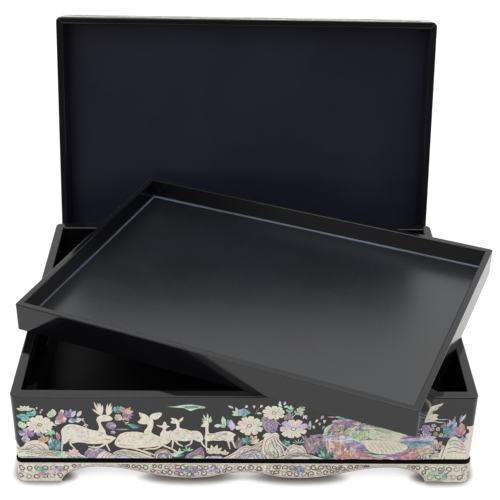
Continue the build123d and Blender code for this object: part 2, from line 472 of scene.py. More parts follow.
def made_from(mesh, name, tints, crease=25):
    """Makes a named piece from a finished mesh. Edges bent more than crease degrees stay sharp."""
    data = bpy.data.meshes.new(name)
    mesh.to_mesh(data)
    mesh.free()
    for tint in tints:
        data.materials.append(finishes[tint])
    data.shade_smooth()
    data.set_sharp_from_angle(angle=radians(crease))
    made = bpy.data.objects.new(name, data)
    bpy.context.scene.collection.objects.link(made)
    return made


def painted_highlight_cove():
    """A hollow quarter round along the foot of the tray's four walls, as one closed ring."""
    along = Vector((cos(tray_turn), sin(tray_turn), 0))
    back = Z.cross(along)
    left, right = span(["tray_left"], along)[1], span(["tray_right"], along)[0]
    near, deep = span(["tray_front"], back)[1], span(["tray_back"], back)[0]
    floor = span(["tray_floor"], Z)[1]
    radius, sunk = cove_radius * MM, 0.1 * MM
    arc = [(radius * (1 - cos(a)), radius * (1 - sin(a))) for a in (pi / 2 * i / 6 for i in range(7))]
    section = [(-sunk, -sunk), (-sunk, radius)] + arc + [(radius, -sunk)]
    mesh = bmesh.new()
    rings = []
    corners = (left, near, 1, 1), (right, near, -1, 1), (right, deep, -1, -1), (left, deep, 1, -1)
    for x, y, sx, sy in corners:
        rings.append([mesh.verts.new(along * (x + sx * a) + back * (y + sy * a) + Z * (floor + b))
                      for a, b in section])
    for k in range(4):
        first, second = rings[k], rings[(k + 1) % 4]
        for i in range(len(section)):
            j = (i + 1) % len(section)
            mesh.faces.new((first[i], first[j], second[j], second[i]))
    bmesh.ops.recalc_face_normals(mesh, faces=mesh.faces[:])
    # Its finish is the pale blue-grey lacquer that paints the highlight line.
    made = made_from(mesh, "tray_painted_highlight_cove", ["painted_highlight_cove"], crease=35)
    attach(made, "tray")
    print("floor inside the cove in mm:", round((right - left) / MM, 1), round((deep - near) / MM, 1))


painted_highlight_cove()

# %% [markdown]
# A cut piece is an outline sawn from a thin sheet. A drawing is written as text, with a comma
# between each point's place along the face and its place up the face. An Inlay collects the cut
# pieces of one motif and builds them as one mesh: every piece is a closed slab, let a little into
# the board and standing a hair proud, so that edges catch the light. Later pieces lie on earlier
# ones, and each has a lift of its own, so that no two lie level where they overlap. Outlines are
# split where they cross a corner and then bent round it.

# %% Cutting and setting shell
sheet_top = 0.10
sheet_sunk = 0.20
sheet_step = 0.01
own_lift = 0.8
golden_part = 0.618
least_gap = 0.02


def dots(drawing):
    """Points from text such as "20,22 22.6,15", or the points as given."""
    if isinstance(drawing, str):
        return [tuple(float(n) for n in pair.split(",")) for pair in drawing.split()]
    return drawing


def turned(points, at=(0, 0), turn=0.0, size=1.0, mirror=False, squash=1.0):
    """A drawing moved to a place, turned by degrees, scaled, and mirrored if asked."""
    c, s = cos(radians(turn)), sin(radians(turn))
    flip = -1 if mirror else 1
    placed = []
    for x, y in dots(points):
        x, y = flip * (x * c - y * s) * size, (x * s + y * c) * size * squash
        placed.append((at[0] + x, at[1] + y))
    return placed


def area(points):
    return sum(a[0] * b[1] - b[0] * a[1] for a, b in zip(points, points[1:] + points[:1])) / 2


def clean(points):
    """Drops points that fall on their neighbour."""
    kept = []
    for p in points:
        if not kept or hypot(p[0] - kept[-1][0], p[1] - kept[-1][1]) > least_gap:
            kept.append(p)
    if hypot(kept[0][0] - kept[-1][0], kept[0][1] - kept[-1][1]) <= least_gap:
        kept.pop()
    return kept


def eased(x, ease):
    """Shifts a place along a face, most at the middle given, and not at all 175 mm from it."""
    return x + ease[0] * (1 - ((x - ease[1]) / 175) ** 2) if ease else x


def filled(points):
    """Triangles that fill an outline, also where it crosses itself, with any points that this adds."""
    ring = [list(range(len(points)))]
    corners, _, faces, *_ = delaunay_2d_cdt([Vector(p) for p in points], [], ring, 1, 1e-6)
    corners = [tuple(p) for p in corners]
    return corners, [f if area([corners[i] for i in f]) > 0 else f[::-1] for f in faces]


def band(path, halves):
    """The left and right side of a band along a path, given half its width at each point."""
    left, right = [], []
    for i, ((x, y), half) in enumerate(zip(path, halves)):
        (x1, y1), (x2, y2) = path[max(i - 1, 0)], path[min(i + 1, len(path) - 1)]
        dx, dy = x2 - x1, y2 - y1
        size = hypot(dx, dy) or 1.0
        left.append((x - dy / size * half, y + dx / size * half))
        right.append((x + dy / size * half, y - dx / size * half))
    return left, right


class Inlay:
    def __init__(self, name, face, base=0.0, ease=None, seed=0):
        self.name, self.face, self.base, self.ease = name, face, base, ease
        self.slabs = []
        self.seed = seed

    def seeded(self, seed):
        """The seed given, or else the one after this inlay's last."""
        self.seed = self.seed + 1 if seed is None else seed
        return self.seed

    def cut(self, outline, tint, layer=0, edge=0.0):
        """Saws a piece to a closed outline. edge is the width of a dark line round it."""
        points = clean(dots(outline))
        if len(points) < 3:
            return
        if area(points) < 0:
            points.reverse()
        if edge:
            self.line(points + points[:1], edge, layer=layer, tint="gap")
        corners, faces = filled(points)
        self.slabs.append((corners, faces, tint, layer + (1 if edge else 0)))

    def line(self, points, width, layer=0, tint="line", taper=False):
        """A line of even width, or one that thins to its ends."""
        points = dots(points)
        kept = [p for i, p in enumerate(points) if i == 0 or p != points[i - 1]]
        last = len(kept) - 1
        thin = [max(0.15, sin(pi * i / last)) if taper else 1.0 for i in range(last + 1)]
        left, right = band(kept, [width / 2 * t for t in thin])
        quads = [[i + last + 1, i + last + 2, i + 1, i] for i in range(last)]
        self.slabs.append((left + right, quads, tint, layer))

    def shape(self, points, *how, **more):
        """A piece with a smooth outline through a few points."""
        self.cut(smooth(points), *how, **more)

    def stroke(self, points, *how, **more):
        """A smooth line through a few points."""
        self.line(smooth(points, closed=False), *how, **more)

    def build(self, body):
        """Makes the mesh: tops, undersides and sawn edges, bent onto the face."""
        mesh = bmesh.new()
        tints = sorted({tint for *_, tint, _ in self.slabs})
        for k, (points, rings, tint, layer) in enumerate(self.slabs):
            lift = layer + own_lift * (golden_part * k % 1)
            top = self.base + sheet_top + lift * sheet_step
            upper = [mesh.verts.new((eased(x, self.ease), y, top)) for x, y in points]
            lower = [mesh.verts.new((v.co.x, v.co.y, self.base - sheet_sunk)) for v in upper]
            edges = {(a, b) for ring in rings for a, b in zip(ring, ring[1:] + ring[:1])}
            made = [mesh.faces.new([upper[i] for i in ring]) for ring in rings]
            made += [mesh.faces.new([lower[i] for i in reversed(ring)]) for ring in rings]
            made += [mesh.faces.new((lower[a], lower[b], upper[b], upper[a]))
                     for a, b in sorted(edges) if (b, a) not in edges]
            for face in made:
                face.material_index = tints.index(tint)
        reach = max(abs(v.co.x) for v in mesh.verts)
        for place in self.face.corner_lines():
            if abs(place) < reach:
                geometry = mesh.verts[:] + mesh.edges[:] + mesh.faces[:]
                bmesh.ops.bisect_plane(mesh, geom=geometry, plane_co=(place, 0, 0), plane_no=(1, 0, 0))
        for vertex in mesh.verts:
            vertex.co = self.face.point(*vertex.co)
        made = made_from(mesh, self.name, tints)
        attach(made, body)
        print(self.name, "cut pieces:", len(self.slabs))


print("shell sheet in mm:", sheet_top + sheet_sunk)

# %% [markdown]
# A few curves make nearly every shape in the trade. A leaf is pointed at both ends, a petal is
# narrow at its foot and round or notched at its tip, and a free form is a smooth curve through a
# handful of points. Where a point is given twice, the curve has a sharp corner there.

# %% Leaves, petals and free forms
def leaf(length, width, bend=0.0, steps=8):
    """From (0, 0) to the right, its tip swung to one side by bend."""
    def edge(t, side):
        return (length * t, side * width / 2 * sin(pi * t) ** 0.85 + bend * t * t)
    along = [i / steps for i in range(steps + 1)]
    return [edge(t, -1) for t in along] + [edge(t, 1) for t in reversed(along[1:-1])]


def petal(length, width, notch=0.0, steps=16):
    points = []
    for i in range(steps):
        t = 2 * pi * i / steps
        reach = (1 - cos(t)) / 2
        dent = notch * exp(-((t - pi) / 0.45) ** 2)
        points.append((length * reach * (1 - dent), -0.72 * width * sin(t) * reach ** 0.8))
    return points


def disc(radius, steps=12):
    return [(radius * cos(2 * pi * i / steps), radius * sin(2 * pi * i / steps)) for i in range(steps)]


def smooth(points, closed=True, steps=4):
    """A curve through the points, rounded between them."""
    points = dots(points)
    count = len(points)
    curve = []
    for i in range(count if closed else count - 1):
        if closed:
            a, b, c, d = (points[(i + k) % count] for k in (-1, 0, 1, 2))
        else:
            a, b, c, d = (points[min(max(i + k, 0), count - 1)] for k in (-1, 0, 1, 2))
        if b == c:
            continue
        if a == b:
            a = tuple(2 * p - q for p, q in zip(b, c))
        if d == c:
            d = tuple(2 * p - q for p, q in zip(c, b))
        for j in range(steps):
            t = j / steps
            curve.append(tuple(
                0.5 * (2 * q + (r - p) * t + (2 * p - 5 * q + 4 * r - s) * t ** 2
                       + (3 * q - p - 3 * r + s) * t ** 3)
                for p, q, r, s in zip(a, b, c, d)))
    return curve if closed else curve + [points[-1]]


def spiral(radius, turns=1.5, start=0.0, hand=1, steps=22, depth=0.8):
    """A curl that winds in from its radius, for scrolls."""
    curl = []
    for i in range(steps + 1):
        t = i / steps
        angle = radians(start) + hand * 2 * pi * turns * t
        reach = radius * (1 - depth * t)
        curl.append((reach * cos(angle), reach * sin(angle)))
    return curl


print("points in a petal:", len(petal(5, 3)))

# %% [markdown]
# Flowers are the commonest motif. A blossom has broad notched petals round a small eye, with veins
# engraved from the eye outwards. A fan of leaves makes a lotus, a wing, a tuft of grass or a tail.
# A sprig carries leaves in pairs along a bent stem.

# %% Blossoms, fans and sprigs
def pick(tints, dice):
    names = tints.split()
    return names[dice.randrange(len(names))]


def blossom(inlay, at, size, tints="cream", petals=9, turn=0.0, squash=1.0, eye="gold", layer=4, seed=None):
    dice = random.Random(inlay.seeded(seed))
    breadth = 1.38 * size * sin(pi / petals)
    inlay.cut(turned(disc(size * 0.6), at, squash=squash), pick(tints, dice), layer)
    for k in range(petals):
        angle = turn + 360 * k / petals + dice.uniform(-4, 4)
        reach = size * dice.uniform(0.9, 1.06)
        shape = petal(reach, breadth * dice.uniform(0.9, 1.06), notch=0.1)
        inlay.cut(turned(shape, at, angle, squash=squash), pick(tints, dice), layer + 1 + 2 * (k % 2),
            edge=0.16)
        vein = turned([(reach * 0.3, 0), (reach * 0.72, dice.uniform(-0.2, 0.2))], at, angle, squash=squash)
        inlay.line(vein, 0.15, layer + 6, tint="umber")
    inlay.cut(turned(disc(size * 0.18), at, squash=squash), "umber", layer + 6)
    inlay.cut(turned(disc(size * 0.13), at, squash=squash), eye, layer + 7)


def fan(inlay, at, lengths, width, start, end, tints, bend=0.0, layer=3, seed=None, rib=0.18,
    round_tip=False):
    """Leaves or petals spread between two angles. lengths are spread over the fan in order."""
    dice = random.Random(inlay.seeded(seed))
    count = len(lengths)
    for k, length in enumerate(lengths):
        angle = start + (end - start) * (k / (count - 1) if count > 1 else 0.5)
        shape = petal(length, width) if round_tip else leaf(length, width, bend)
        inlay.cut(turned(shape, at, angle), pick(tints, dice), layer + 2 * (k % 2), edge=0.14)
        if rib:
            rest = [(length * t, 0 if round_tip else bend * t * t) for t in (0.2, 0.45, 0.7)]
            inlay.line(turned(rest, at, angle), rib, layer + 4, tint="umber")


def sprig(inlay, stem, size, tints, pairs=3, layer=2, seed=None, spread=48):
    """A bent stem through three or more points, with leaves in pairs and one at the tip."""
    dice = random.Random(inlay.seeded(seed))
    path = smooth(stem, closed=False, steps=6)
    inlay.line(path, 0.35, layer, tint=tints.split()[0])
    last = len(path) - 1
    for k in range(pairs):
        i = max(1, round(last * (0.25 + 0.6 * k / max(pairs - 1, 1))))
        heading = atan2(path[i][1] - path[i - 1][1], path[i][0] - path[i - 1][0]) * 180 / pi
        for side in (-1, 1):
            shape = leaf(size * dice.uniform(0.8, 1.1), size * 0.45)
            inlay.cut(turned(shape, path[i], heading + side * spread), pick(tints, dice), layer + 1)
    heading = atan2(path[last][1] - path[last - 1][1], path[last][0] - path[last - 1][0]) * 180 / pi
    inlay.cut(turned(leaf(size, size * 0.5), path[last], heading), pick(tints, dice), layer + 1)


def buds(inlay, places, size, tints, turn=70, layer=3, seed=None):
    dice = random.Random(inlay.seeded(seed))
    for at in dots(places):
        shape = petal(size * dice.uniform(0.8, 1.15), size * 0.6)
        inlay.cut(turned(shape, at, turn + dice.uniform(-35, 35)), pick(tints, dice), layer)


print("petals in a blossom:", 9)

# %% [markdown]
# Rocks and banks run along the foot of every picture. A bank is built of nested layers: each is the
# same crest drawn a little smaller, sawn from another tint, with a dark saw line between, which
# gives the banded look of scholar's rocks.

# %% Banks and rocks
def bank(inlay, crest, tints, rings=3, layer=0, seed=None, foot=0.8, pull=0.24):
    """A mound under a crest of points from left to right, standing on the foot line."""
    dice = random.Random(inlay.seeded(seed))
    curve = smooth(crest, closed=False, steps=4)
    middle = sum(x for x, y in dots(crest)) / len(dots(crest)) + dice.uniform(-1, 1)
    names = tints.split()
    for k in range(rings):
        scale = 1 - pull * (k + dice.uniform(-0.25, 0.25) * (k > 0))
        sway, phase = 0.4 * (k > 0), dice.uniform(0, 6)
        ring = [(middle + (x - middle) * scale, foot + (y - foot) * scale + sway * sin(x / 1.6 + phase))
            for x, y in curve]
        outline = ring + [(ring[-1][0], foot), (ring[0][0], foot)]
        inlay.cut(outline, names[k % len(names)], layer + k)
        if k:
            inlay.line(ring, 0.45, layer + k + 1, tint="umber")
        scale -= pull * 0.5
        between = [(middle + (x - middle) * scale,
                    foot + (y - foot) * scale + 0.3 * sin(x / 1.1 + phase)) for x, y in curve]
        inlay.line(between, 0.3, layer + k + 1, tint="mauve", taper=True)
    inlay.line(curve, 0.3, layer + 1, tint="gap")


def rock(inlay, at, width, height, tints, rings=3, layer=0, seed=1, lumps=3):
    """A bank with a lumpy crest drawn by chance."""
    dice = random.Random(seed)
    crest = [(at[0] - width / 2, at[1])]
    for k in range(2 * lumps - 1):
        t = (k + 1) / (2 * lumps)
        low, high = (0.85, 1.05) if k % 2 == 0 else (0.6, 0.75)
        rise = height * sin(pi * t) ** 0.6 * dice.uniform(low, high)
        crest.append((at[0] + width * (t - 0.5), at[1] + rise))
    crest.append((at[0] + width / 2, at[1]))
    bank(inlay, crest, tints, rings, layer, seed, foot=at[1])


def tuft(inlay, at, height, tints, blades=7, layer=3, seed=None):
    """Grass or a low plant."""
    seed = inlay.seeded(seed)
    dice = random.Random(seed)
    lengths = [height * dice.uniform(0.6, 1.0) for _ in range(blades)]
    fan(inlay, at, lengths, height * 0.2, 155, 25, tints, layer=layer, seed=seed, rib=0)


def inside(point, outline):
    """Whether a point is inside a closed outline, by counting crossings."""
    x, y = point
    hit = False
    for (x1, y1), (x2, y2) in zip(outline, outline[1:] + outline[:1]):
        if (y1 > y) != (y2 > y) and x < (x2 - x1) * (y - y1) / (y2 - y1) + x1:
            hit = not hit
    return hit


def broken(inlay, outline, tints, size, heading, layer=0, seed=None):
    """Fills an area with short leaves that overlap like thatch, all laid at about one angle."""
    dice = random.Random(inlay.seeded(seed))
    area_edge = smooth(outline)
    inlay.cut(area_edge, tints.split()[0], layer)
    xs, ys = [p[0] for p in area_edge], [p[1] for p in area_edge]
    back = (size * 0.45 * cos(radians(heading)), size * 0.45 * sin(radians(heading)))
    for row in range(int((max(ys) - min(ys)) / (size * 0.42)) + 1):
        for step in range(int((max(xs) - min(xs)) / (size * 0.5)) + 1):
            x = min(xs) + size * 0.5 * (step + 0.5 * (row % 2)) + dice.uniform(-0.5, 0.5)
            y = min(ys) + size * 0.42 * row + dice.uniform(-0.4, 0.4)
            length, width = size * dice.uniform(1.0, 1.7), size * dice.uniform(0.3, 0.46)
            shape = leaf(length, width, dice.uniform(-0.8, 0.8))
            swing = heading + dice.uniform(-20, 20)
            tint = pick(tints, dice)
            if inside((x, y), area_edge):
                place = (x - back[0], y - back[1])
                inlay.cut(turned(shape, place, swing), tint, layer + 1 + 2 * ((row + step) % 3), edge=0.16)


print("rings in a bank:", 3)

# %% [markdown]
# Deer stand for long life. Each is a body with neck and head in one outline, with thin legs, ears
# and antlers cut apart, because a saw can't follow so fine a neck of shell in one piece. The
# outlines start from a point on the ground under the middle of the body.

# %% Deer
stag_body = dots("-18.8,28.5 -15.8,32.8 -11.5,34.4 -7.2,33.8 -2.8,32 2.3,29.4 6.6,28.2 8.4,28.6 9.1,31.1 "
    "8.8,34.6 7.9,37.2 7.7,39.3 8.8,41.5 10.5,42.8 13.5,43.6 17,42.8 19.1,41 19.7,39.9 18.7,38.4 "
    "16.1,37.6 12.7,37.2 11,37 10.9,34.6 12.2,31.1 13.5,28.5 14,25.1 15.3,23.4 17.8,22.9 20.9,21.6 "
    "20.9,20.8 18.7,18.2 16.1,16 14,15.2 10.9,15.4 5.8,14.9 0.6,15.2 -2.8,16 -6.3,16.5 -9.7,16 -11.6,15.4 "
    "-13.2,18.2 -14.6,17.6 -16.4,15.6 -18.6,14.6 -19.4,17 -19,22.5 -19.2,25.9")
stag_legs = ["-18.6,18 -19.4,13 -20,8", "-12.8,18 -13,14.6 -11.4,12 -9.2,8.6",
    "13.4,17 14.4,12.6 16.1,7.8", "13.4,16 9.7,12.4 5.4,11.5 0.2,12.4"]
stag_antlers = [
    turned(leaf(length, 1.7, bend), root, angle)
    for root, tines in (
        ((11.4, 42.6), ((14.2, 114, -1.2), (12.6, 102, -0.8), (12.4, 90, 0.4), (10.6, 78, 0.8), (9, 128, 1))),
        ((15.6, 42.8), ((11.6, 88, -0.8), (13, 77, -0.8), (10.6, 62, 0.8), (7.4, 44, 1), (8.4, 74, 0))))
    for length, angle, bend in tines]
doe_body = dots("-5.8,37.2 -4.3,38.6 -3.7,40.2 -1.3,40.8 2.6,41.1 4.9,39.7 5.7,37.2 5.4,32.8 4.4,29.4 "
    "3.8,26.8 5.1,25.3 7.7,23.8 10.3,22.3 13.3,20.8 15.9,19 17.8,17.8 15,15.2 11.6,14.3 7.3,12.8 1.3,11.6 "
    "-4.8,11.3 -11.7,10.6 -16.8,10.9 -21.2,12 -24,14.7 -23.4,18.2 -21.4,22.5 -19.3,25.1 -15.8,26.6 "
    "-13.4,27 -8.2,27.3 -3.5,26.5 -1.8,26 -1.3,28.1 0,30.3 1.3,32.8 0.6,34.9 -1.3,34.6 -4.8,35.4")
doe_ears = ["-4.8,46.2 -2.6,45.3 0.6,43.9 2.3,41.5 -1.3,40.4 -3.7,41.5 -4.3,43.6", "3,41 3.8,43.6 "
    "6.4,45.3 9.9,46 12.3,45.4 11.2,42.3 8.8,39.7 6,39.2"]
doe_legs = ["-14,11.6 -7.4,9.6 0.4,6.6 6,3.5", "-9,10.4 -2,6.8 3,3.5",
    "12,14.6 7.3,10.8 1.3,10.2 -2.8,9.4", "10.6,14.6 15.9,11.7 20.2,9.1 22.8,7"]
fawn_body = dots("-9.7,36.5 -8.6,38 -6.9,39.6 -4.3,39 -3,37.2 -3,35.4 -3,32 -1.7,30.7 1.7,29.8 5.2,28.4 "
    "9.5,28.4 12.5,26.8 14.2,23.4 14.6,19.9 12,17.3 7.3,19.5 3.4,18.4 -1.7,18.2 -6.9,18.9 -9.5,19.5 "
    "-10.8,22.5 -9.9,26 -7.8,28.5 -5.6,30.7 -5.2,33.3 -5.6,35.3 -7.8,35.4")
fawn_ears = ["-6.8,37.4 -9.5,40.9 -5.8,40.2 -4.4,38.6", "-3.6,38.2 -1.4,41 0,41.5 -0.6,38.8 -2.4,37"]
fawn_legs = ["-8,20.6 -8.6,14.7 -9.1,10.9", "-6.9,19.6 -4.3,15.2 -0.9,13", "6,20 5.2,15.6 1.7,13",
    "12.4,20 14.2,14.7 16.8,11.3"]
young_body = dots("-14.1,32.8 -12.8,35 -11.1,38 -8.9,37.2 -8.1,34.6 -8.5,30.3 -7.9,26.4 -5.5,25.8 -2,26.8 "
    "3.2,28.1 7.5,27.8 10.1,26.4 12.2,24.7 10.5,22.5 10.1,18.2 5.8,18.2 3.2,18.9 -1.2,18.6 -5.5,18.9 "
    "-8.9,18.2 -11.1,19.9 -11.3,22.5 -10.7,26 -10.7,29.4 -10.8,32 -12.4,32.2")
young_legs = ["-10,20 -10.2,14.7 -9.9,8.2", "6,19.6 7.1,14.7 7.9,10.4", "9.2,20 10.9,14.7 12.2,11.3"]


def engrave_hair(inlay, body, place, seed, layer):
    """Pale patches of other shell inside a body, then short engraved strokes, laid along its length."""
    dice = random.Random(seed)
    xs, ys = [p[0] for p in body], [p[1] for p in body]
    left, right, low, high = min(xs), max(xs), min(ys), max(ys)
    for k in range(90):
        at = (dice.uniform(left, right), dice.uniform(low, low + 0.62 * (high - low)))
        slope = dice.uniform(-24, 12)
        patch = turned(leaf(dice.uniform(3, 7), dice.uniform(0.8, 1.9), 0.4), at, slope)
        stroke = turned("0,0 1.5,0.3 3.2,0.2", at, slope)
        if k < 50 and all(inside(p, body) for p in patch):
            inlay.cut(place(patch), pick("blush sage lilac pearl blush gold", dice), layer)
        if k >= 50 and all(inside(p, body) for p in stroke):
            inlay.line(place(stroke), 0.32, layer + 1, tint="mauve", taper=True)


def leg(inlay, joints, place, tint, layer, thick=1.15):
    """A leg that thins to the hoof, as a band along its joints."""
    path = smooth(joints, closed=False, steps=3)
    last = len(path) - 1
    left, right = band(path, [thick * (1.1 - 0.75 * i / last) / 2 + 0.18 for i in range(last + 1)])
    inlay.cut(place(left + right[::-1]), tint, layer)


def deer(inlay, at, body, legs, ears=(), antlers=(), size=1.0, mirror=False, tint="cream", horn="cream",
         layer=8, seed=None):
    body = dots(body)

    def place(points):
        return turned(points, at, size=size, mirror=mirror)
    for joints in legs:
        leg(inlay, joints, place, tint, layer)
    for outline in antlers:
        inlay.cut(place(outline), horn, layer)
    for outline in ears:
        inlay.cut(place(smooth(outline, steps=2)), tint, layer + 1, edge=0.25)
    inlay.cut(place(smooth(body)), tint, layer + 2, edge=0.3)
    engrave_hair(inlay, body, place, inlay.seeded(seed), layer + 4)
    head = max(body, key=lambda p: p[1])
    inlay.cut(turned(disc(0.35, 6), place([(head[0], head[1] - 1.9)])[0]), "line", layer + 4)


print("points in a stag's outline:", len(dots(stag_body)))

# %% [markdown]
# The front is the show side. From the left: a bush of blossoms over a bank, a stag, a doe and fawns
# walking over broken ground, a drift of cloud, three large blossoms on a rock, a phoenix among
# flowers and the wing of a crane at the right edge, with a last rock that turns the corner. The
# drawing is eased sideways, most in the middle, to allow for the lens it was measured through.

# %% Front: banks and rocks
front = walls["front"]
front_ease = (2.4, 25)
ground = Inlay("front_banks", front, ease=front_ease)
ground.cut("-178,1 -178,30 -175.5,27 -174.6,18 -172,13 -168,8 -168,1", "pearl", 0)
bank(ground, "-176,9 -169,12 -166,16 -161,18.2 -156.4,18.2 -153,16 -150,13 -149,7",
    "cream blush cream lilac blush", rings=4, seed=3, pull=0.22)
bank(ground, "-179,7 -172,9.4 -164,8.8 -157,9.6 -148,8.4 -140,7.6 -130,6.4 -124,3.4 -121,1",
    "sage cream sage blush cream", rings=5, layer=10, seed=5, pull=0.17)
fan(ground, (-140, 2), [5, 6, 6, 5], 3, 150, 30, "mint sage mint", layer=20, rib=0)
ground.line("-176,1.7 -162,1.8 -150,1.5", 1.4, 21, tint="blue", taper=True)
ground.line("-138,1.6 -128,1.8 -121,1.4", 1.2, 21, tint="blue", taper=True)
bank(ground, "-125,1 -122,8 -117,11.6 -111,10.4 -106,8 -104,1", "violet mauve violet lilac", rings=3,
    seed=8)
bank(ground, "-115,1 -112,5.6 -107.6,8 -102.6,6 -98,8.6 -93,9.8 -88,8.6 -82,7 -75,3.6 -70,1",
    "cream blush cream sage lilac", rings=5, layer=8, pull=0.17)
bank(ground, "-71.4,1 -70.4,6 -67,9.4 -63,10.4 -60,9 -57.6,5 -57,1", "gold cream violet lilac", rings=4,
    seed=11, pull=0.2)
ground.line("-69,2.4 -64,1.8 -59,2.4", 1.2, 10, tint="blue", taper=True)
bank(ground, "-48,1 -46,4.6 -41,8 -36,12 -33.8,11 -32.6,5 -32,1", "violet rose violet gold", rings=4,
    layer=2, seed=13, pull=0.2)
bank(ground, "-44,1 -40,3.6 -35,4.2 -32,1", "gold sage", rings=2, layer=12)
bank(ground, "-32,1 -30,3 -25,3.6 -20,3 -17,1", "pearl lilac", rings=2)
bank(ground, "-19,1 -14,4 -9,8 -5,12 0,14.2 4,13.4 8,17 12,20 16,22 20,20 23,14 27,9 32,6 38,1",
    "cream blush cream sage gold", rings=6, layer=6, seed=17, pull=0.12)
bank(ground, "11,10 12,19 14,24.4 18,25.6 21,27.2 24,24.8 24.4,19 27,13 29,6", "cream blush sage cream",
    rings=3, layer=18, seed=19, pull=0.22, foot=8)
ground.shape("11.6,23 13.6,26 17.4,26.6 19.4,24 16,23.4", "sage", 26)
for path, tint in (("20,22 22.6,15 26,11.6 28.4,1.4", "pearl"), ("18.2,20 20.4,13 23,9 24.6,1.4",
    "cream"), ("22,21 25.4,15.4 29,12.6 32,8", "sage")):
    ground.stroke(path, 0.55, 28, tint="umber")
    ground.stroke(turned(path, (1, 0.3)), 0.9, 27, tint=tint)
bank(ground, "-7,1 -4,5.4 0,8 4,9 8,8.4 12,5.6 14.6,1", "lilac pearl lilac cream", rings=6, layer=30,
    seed=21, pull=0.15)
for k in range(5):
    x = 10.4 + 3.1 * k
    ground.stroke([(x, 9.6 - 0.3 * k), (x + 1.3, 6.4), (x + 0.5, 3.6), (x + 1.6, 1.2)], 0.4, 34,
        tint="umber" if k % 2 else "violet")
bank(ground, "28,1 29,8 31.6,13.4 36,15.6 39.6,14.2 42.4,14 45,9 48,1", "cream blush cream lilac",
    rings=4, layer=20, seed=23, pull=0.2)
bank(ground, "22,1 27,3.4 34,5.4 41,6.4 48,5.4 54,3 59.4,1", "sage cream gold pearl", rings=4, layer=30,
    pull=0.16)
ground.line("44,1.6 52,1.9 59,1.3", 1.1, 39, tint="pearl", taper=True)
bank(ground, "140,1 143,5 147,7.4 150.6,6.6 152,1", "cream sage cream", rings=3, layer=4)
for x in (150.2, 152.8):
    ground.stroke([(x + 1.6, 14), (x + 0.8, 9), (x, 5), (x - 0.4, 1)], 1.9, 10, tint="cream")
    ground.stroke([(x + 2.8, 14), (x + 2, 9), (x + 1.2, 5), (x + 0.8, 1)], 0.4, 11, tint="umber")
ground.shape("154,0.9 154,0.9 153.6,10 154.6,18 157,22.6 160,23.6 163,21.4 166,18.6 171,18.4 178,18 "
    "178,18 178,0.9 178,0.9", "cream", 12)
ground.shape("155,13 155.6,18.6 159,20.6 162,18 163,13", "sage", 13)
ground.shape("162.6,10 163,16 166.6,18 169,13 168,9", "blush", 13)
for path in ("155,18 160,20 165,17.4 169,12.6", "155,11.4 161,13 166,11 170,10.4",
    "155.4,7.4 160,9 165,7.4 170,7", "156,15 160,16.4 164.6,14.4 167,12"):
    ground.stroke(path, 0.5, 15, tint="umber")
ground.cut("168,16 168,33.6 178,33.6 178,16", "cream", 10)
ground.build("box")

# %% [markdown]
# The deer walk in a line from both sides. Only the stag's antlers are full grown, and the young stag
# at the right has short green ones. The smallest fawn faces the front, behind the doe's shoulder.

# %% Front: deer
herd = Inlay("front_deer", front, ease=front_ease, seed=30)
deer(herd, (-120, 0), stag_body, stag_legs, antlers=stag_antlers)
herd.shape("-68.3,34.1 -65.7,33.4 -63.7,33.6 -63.1,35.9 -62,37.2 -60.9,35.6 -60.4,33.7 -58.2,32.7 "
    "-59.9,31.3 -61.1,30.2 -61.4,28.7 -60.1,27.7 -57.1,28.5 -55.6,24 -57.7,19.1 -60.1,15.6 -63.5,14.7 "
    "-66.1,18.2 -65.9,22.5 -65.3,26 -64,28.5 -63.5,30.4 -64.8,31.6 -67,32.6", "cream", 8, edge=0.25)
deer(herd, (-76, 0), doe_body, doe_legs, ears=doe_ears, layer=12)
deer(herd, (-48, 0), fawn_body, fawn_legs, ears=fawn_ears, layer=12)
deer(herd, (-21, 0), young_body, young_legs, layer=12)
fan(herd, (-30.2, 35.4), [4.6, 6.6, 9.4, 10.2, 8, 5], 1.5, 148, 48, "cream mint sage mint", layer=11,
    rib=0)
fan(herd, (-29.6, 36.6), [4, 5.4], 2.6, 40, 66, "mint", layer=10, rib=0)
herd.build("box")

# %% [markdown]
# The smaller motifs fill the ground between the animals: sprigs, buds and bright small flowers cut
# from the most colourful shell, over a bank or beside a deer's back.

# %% Front: flowers on the left
flowers = Inlay("front_flowers", front, ease=front_ease, seed=40)
fan(flowers, (-163.8, 47.4), [6.4, 5.6, 4.6, 5.4, 6.6], 2.6, 162, 18, "cream sage cream")
fan(flowers, (-161.4, 41.4), [9.4, 7], 5, 176, 214, "teal")
fan(flowers, (-162, 42), [7.8, 5], 4.4, 36, 64, "teal")
fan(flowers, (-167.4, 30), [7.4, 6], 4.8, 98, 72, "sage mint")
buds(flowers, "-155.6,48.6 -152.6,47.2 -153.4,44.8 -157,46.6", 2.2, "sage cream")
blossom(flowers, (-154.3, 33.6), 11.2, "cream cream blush cream", petals=9, squash=0.86, turn=10)
blossom(flowers, (-164.6, 25.6), 6.6, "violet violet lilac", petals=7, squash=0.7, layer=2)
blossom(flowers, (-166, 19.2), 3.6, "lilac mauve lilac", petals=6, layer=3)
fan(flowers, (-155, 22.4), [4, 5, 4], 1.6, 130, 50, "blue", layer=2)
fan(flowers, (-146.6, 29), [7.4, 6.4, 5.4], 2.8, 232, 300, "mint")
fan(flowers, (-152.6, 16), [6, 8.4, 7.4], 3.8, 130, 60, "gold blush gold")
fan(flowers, (-143.8, 41.6), [7.4, 5.6, 5.2], 4.6, 88, 150, "mint sage")
blossom(flowers, (-138.2, 39.4), 4.6, "rose blush rose", petals=6, layer=3)
fan(flowers, (-137.6, 42), [6.4, 4.2], 3, 84, 110, "blush rose", round_tip=True)
fan(flowers, (-130.6, 41), [8, 8.2, 8.4, 7.4], 3, 148, 62, "violet violet lilac")
fan(flowers, (-126.4, 41.6), [6.6], 2.8, 58, 58, "blush")
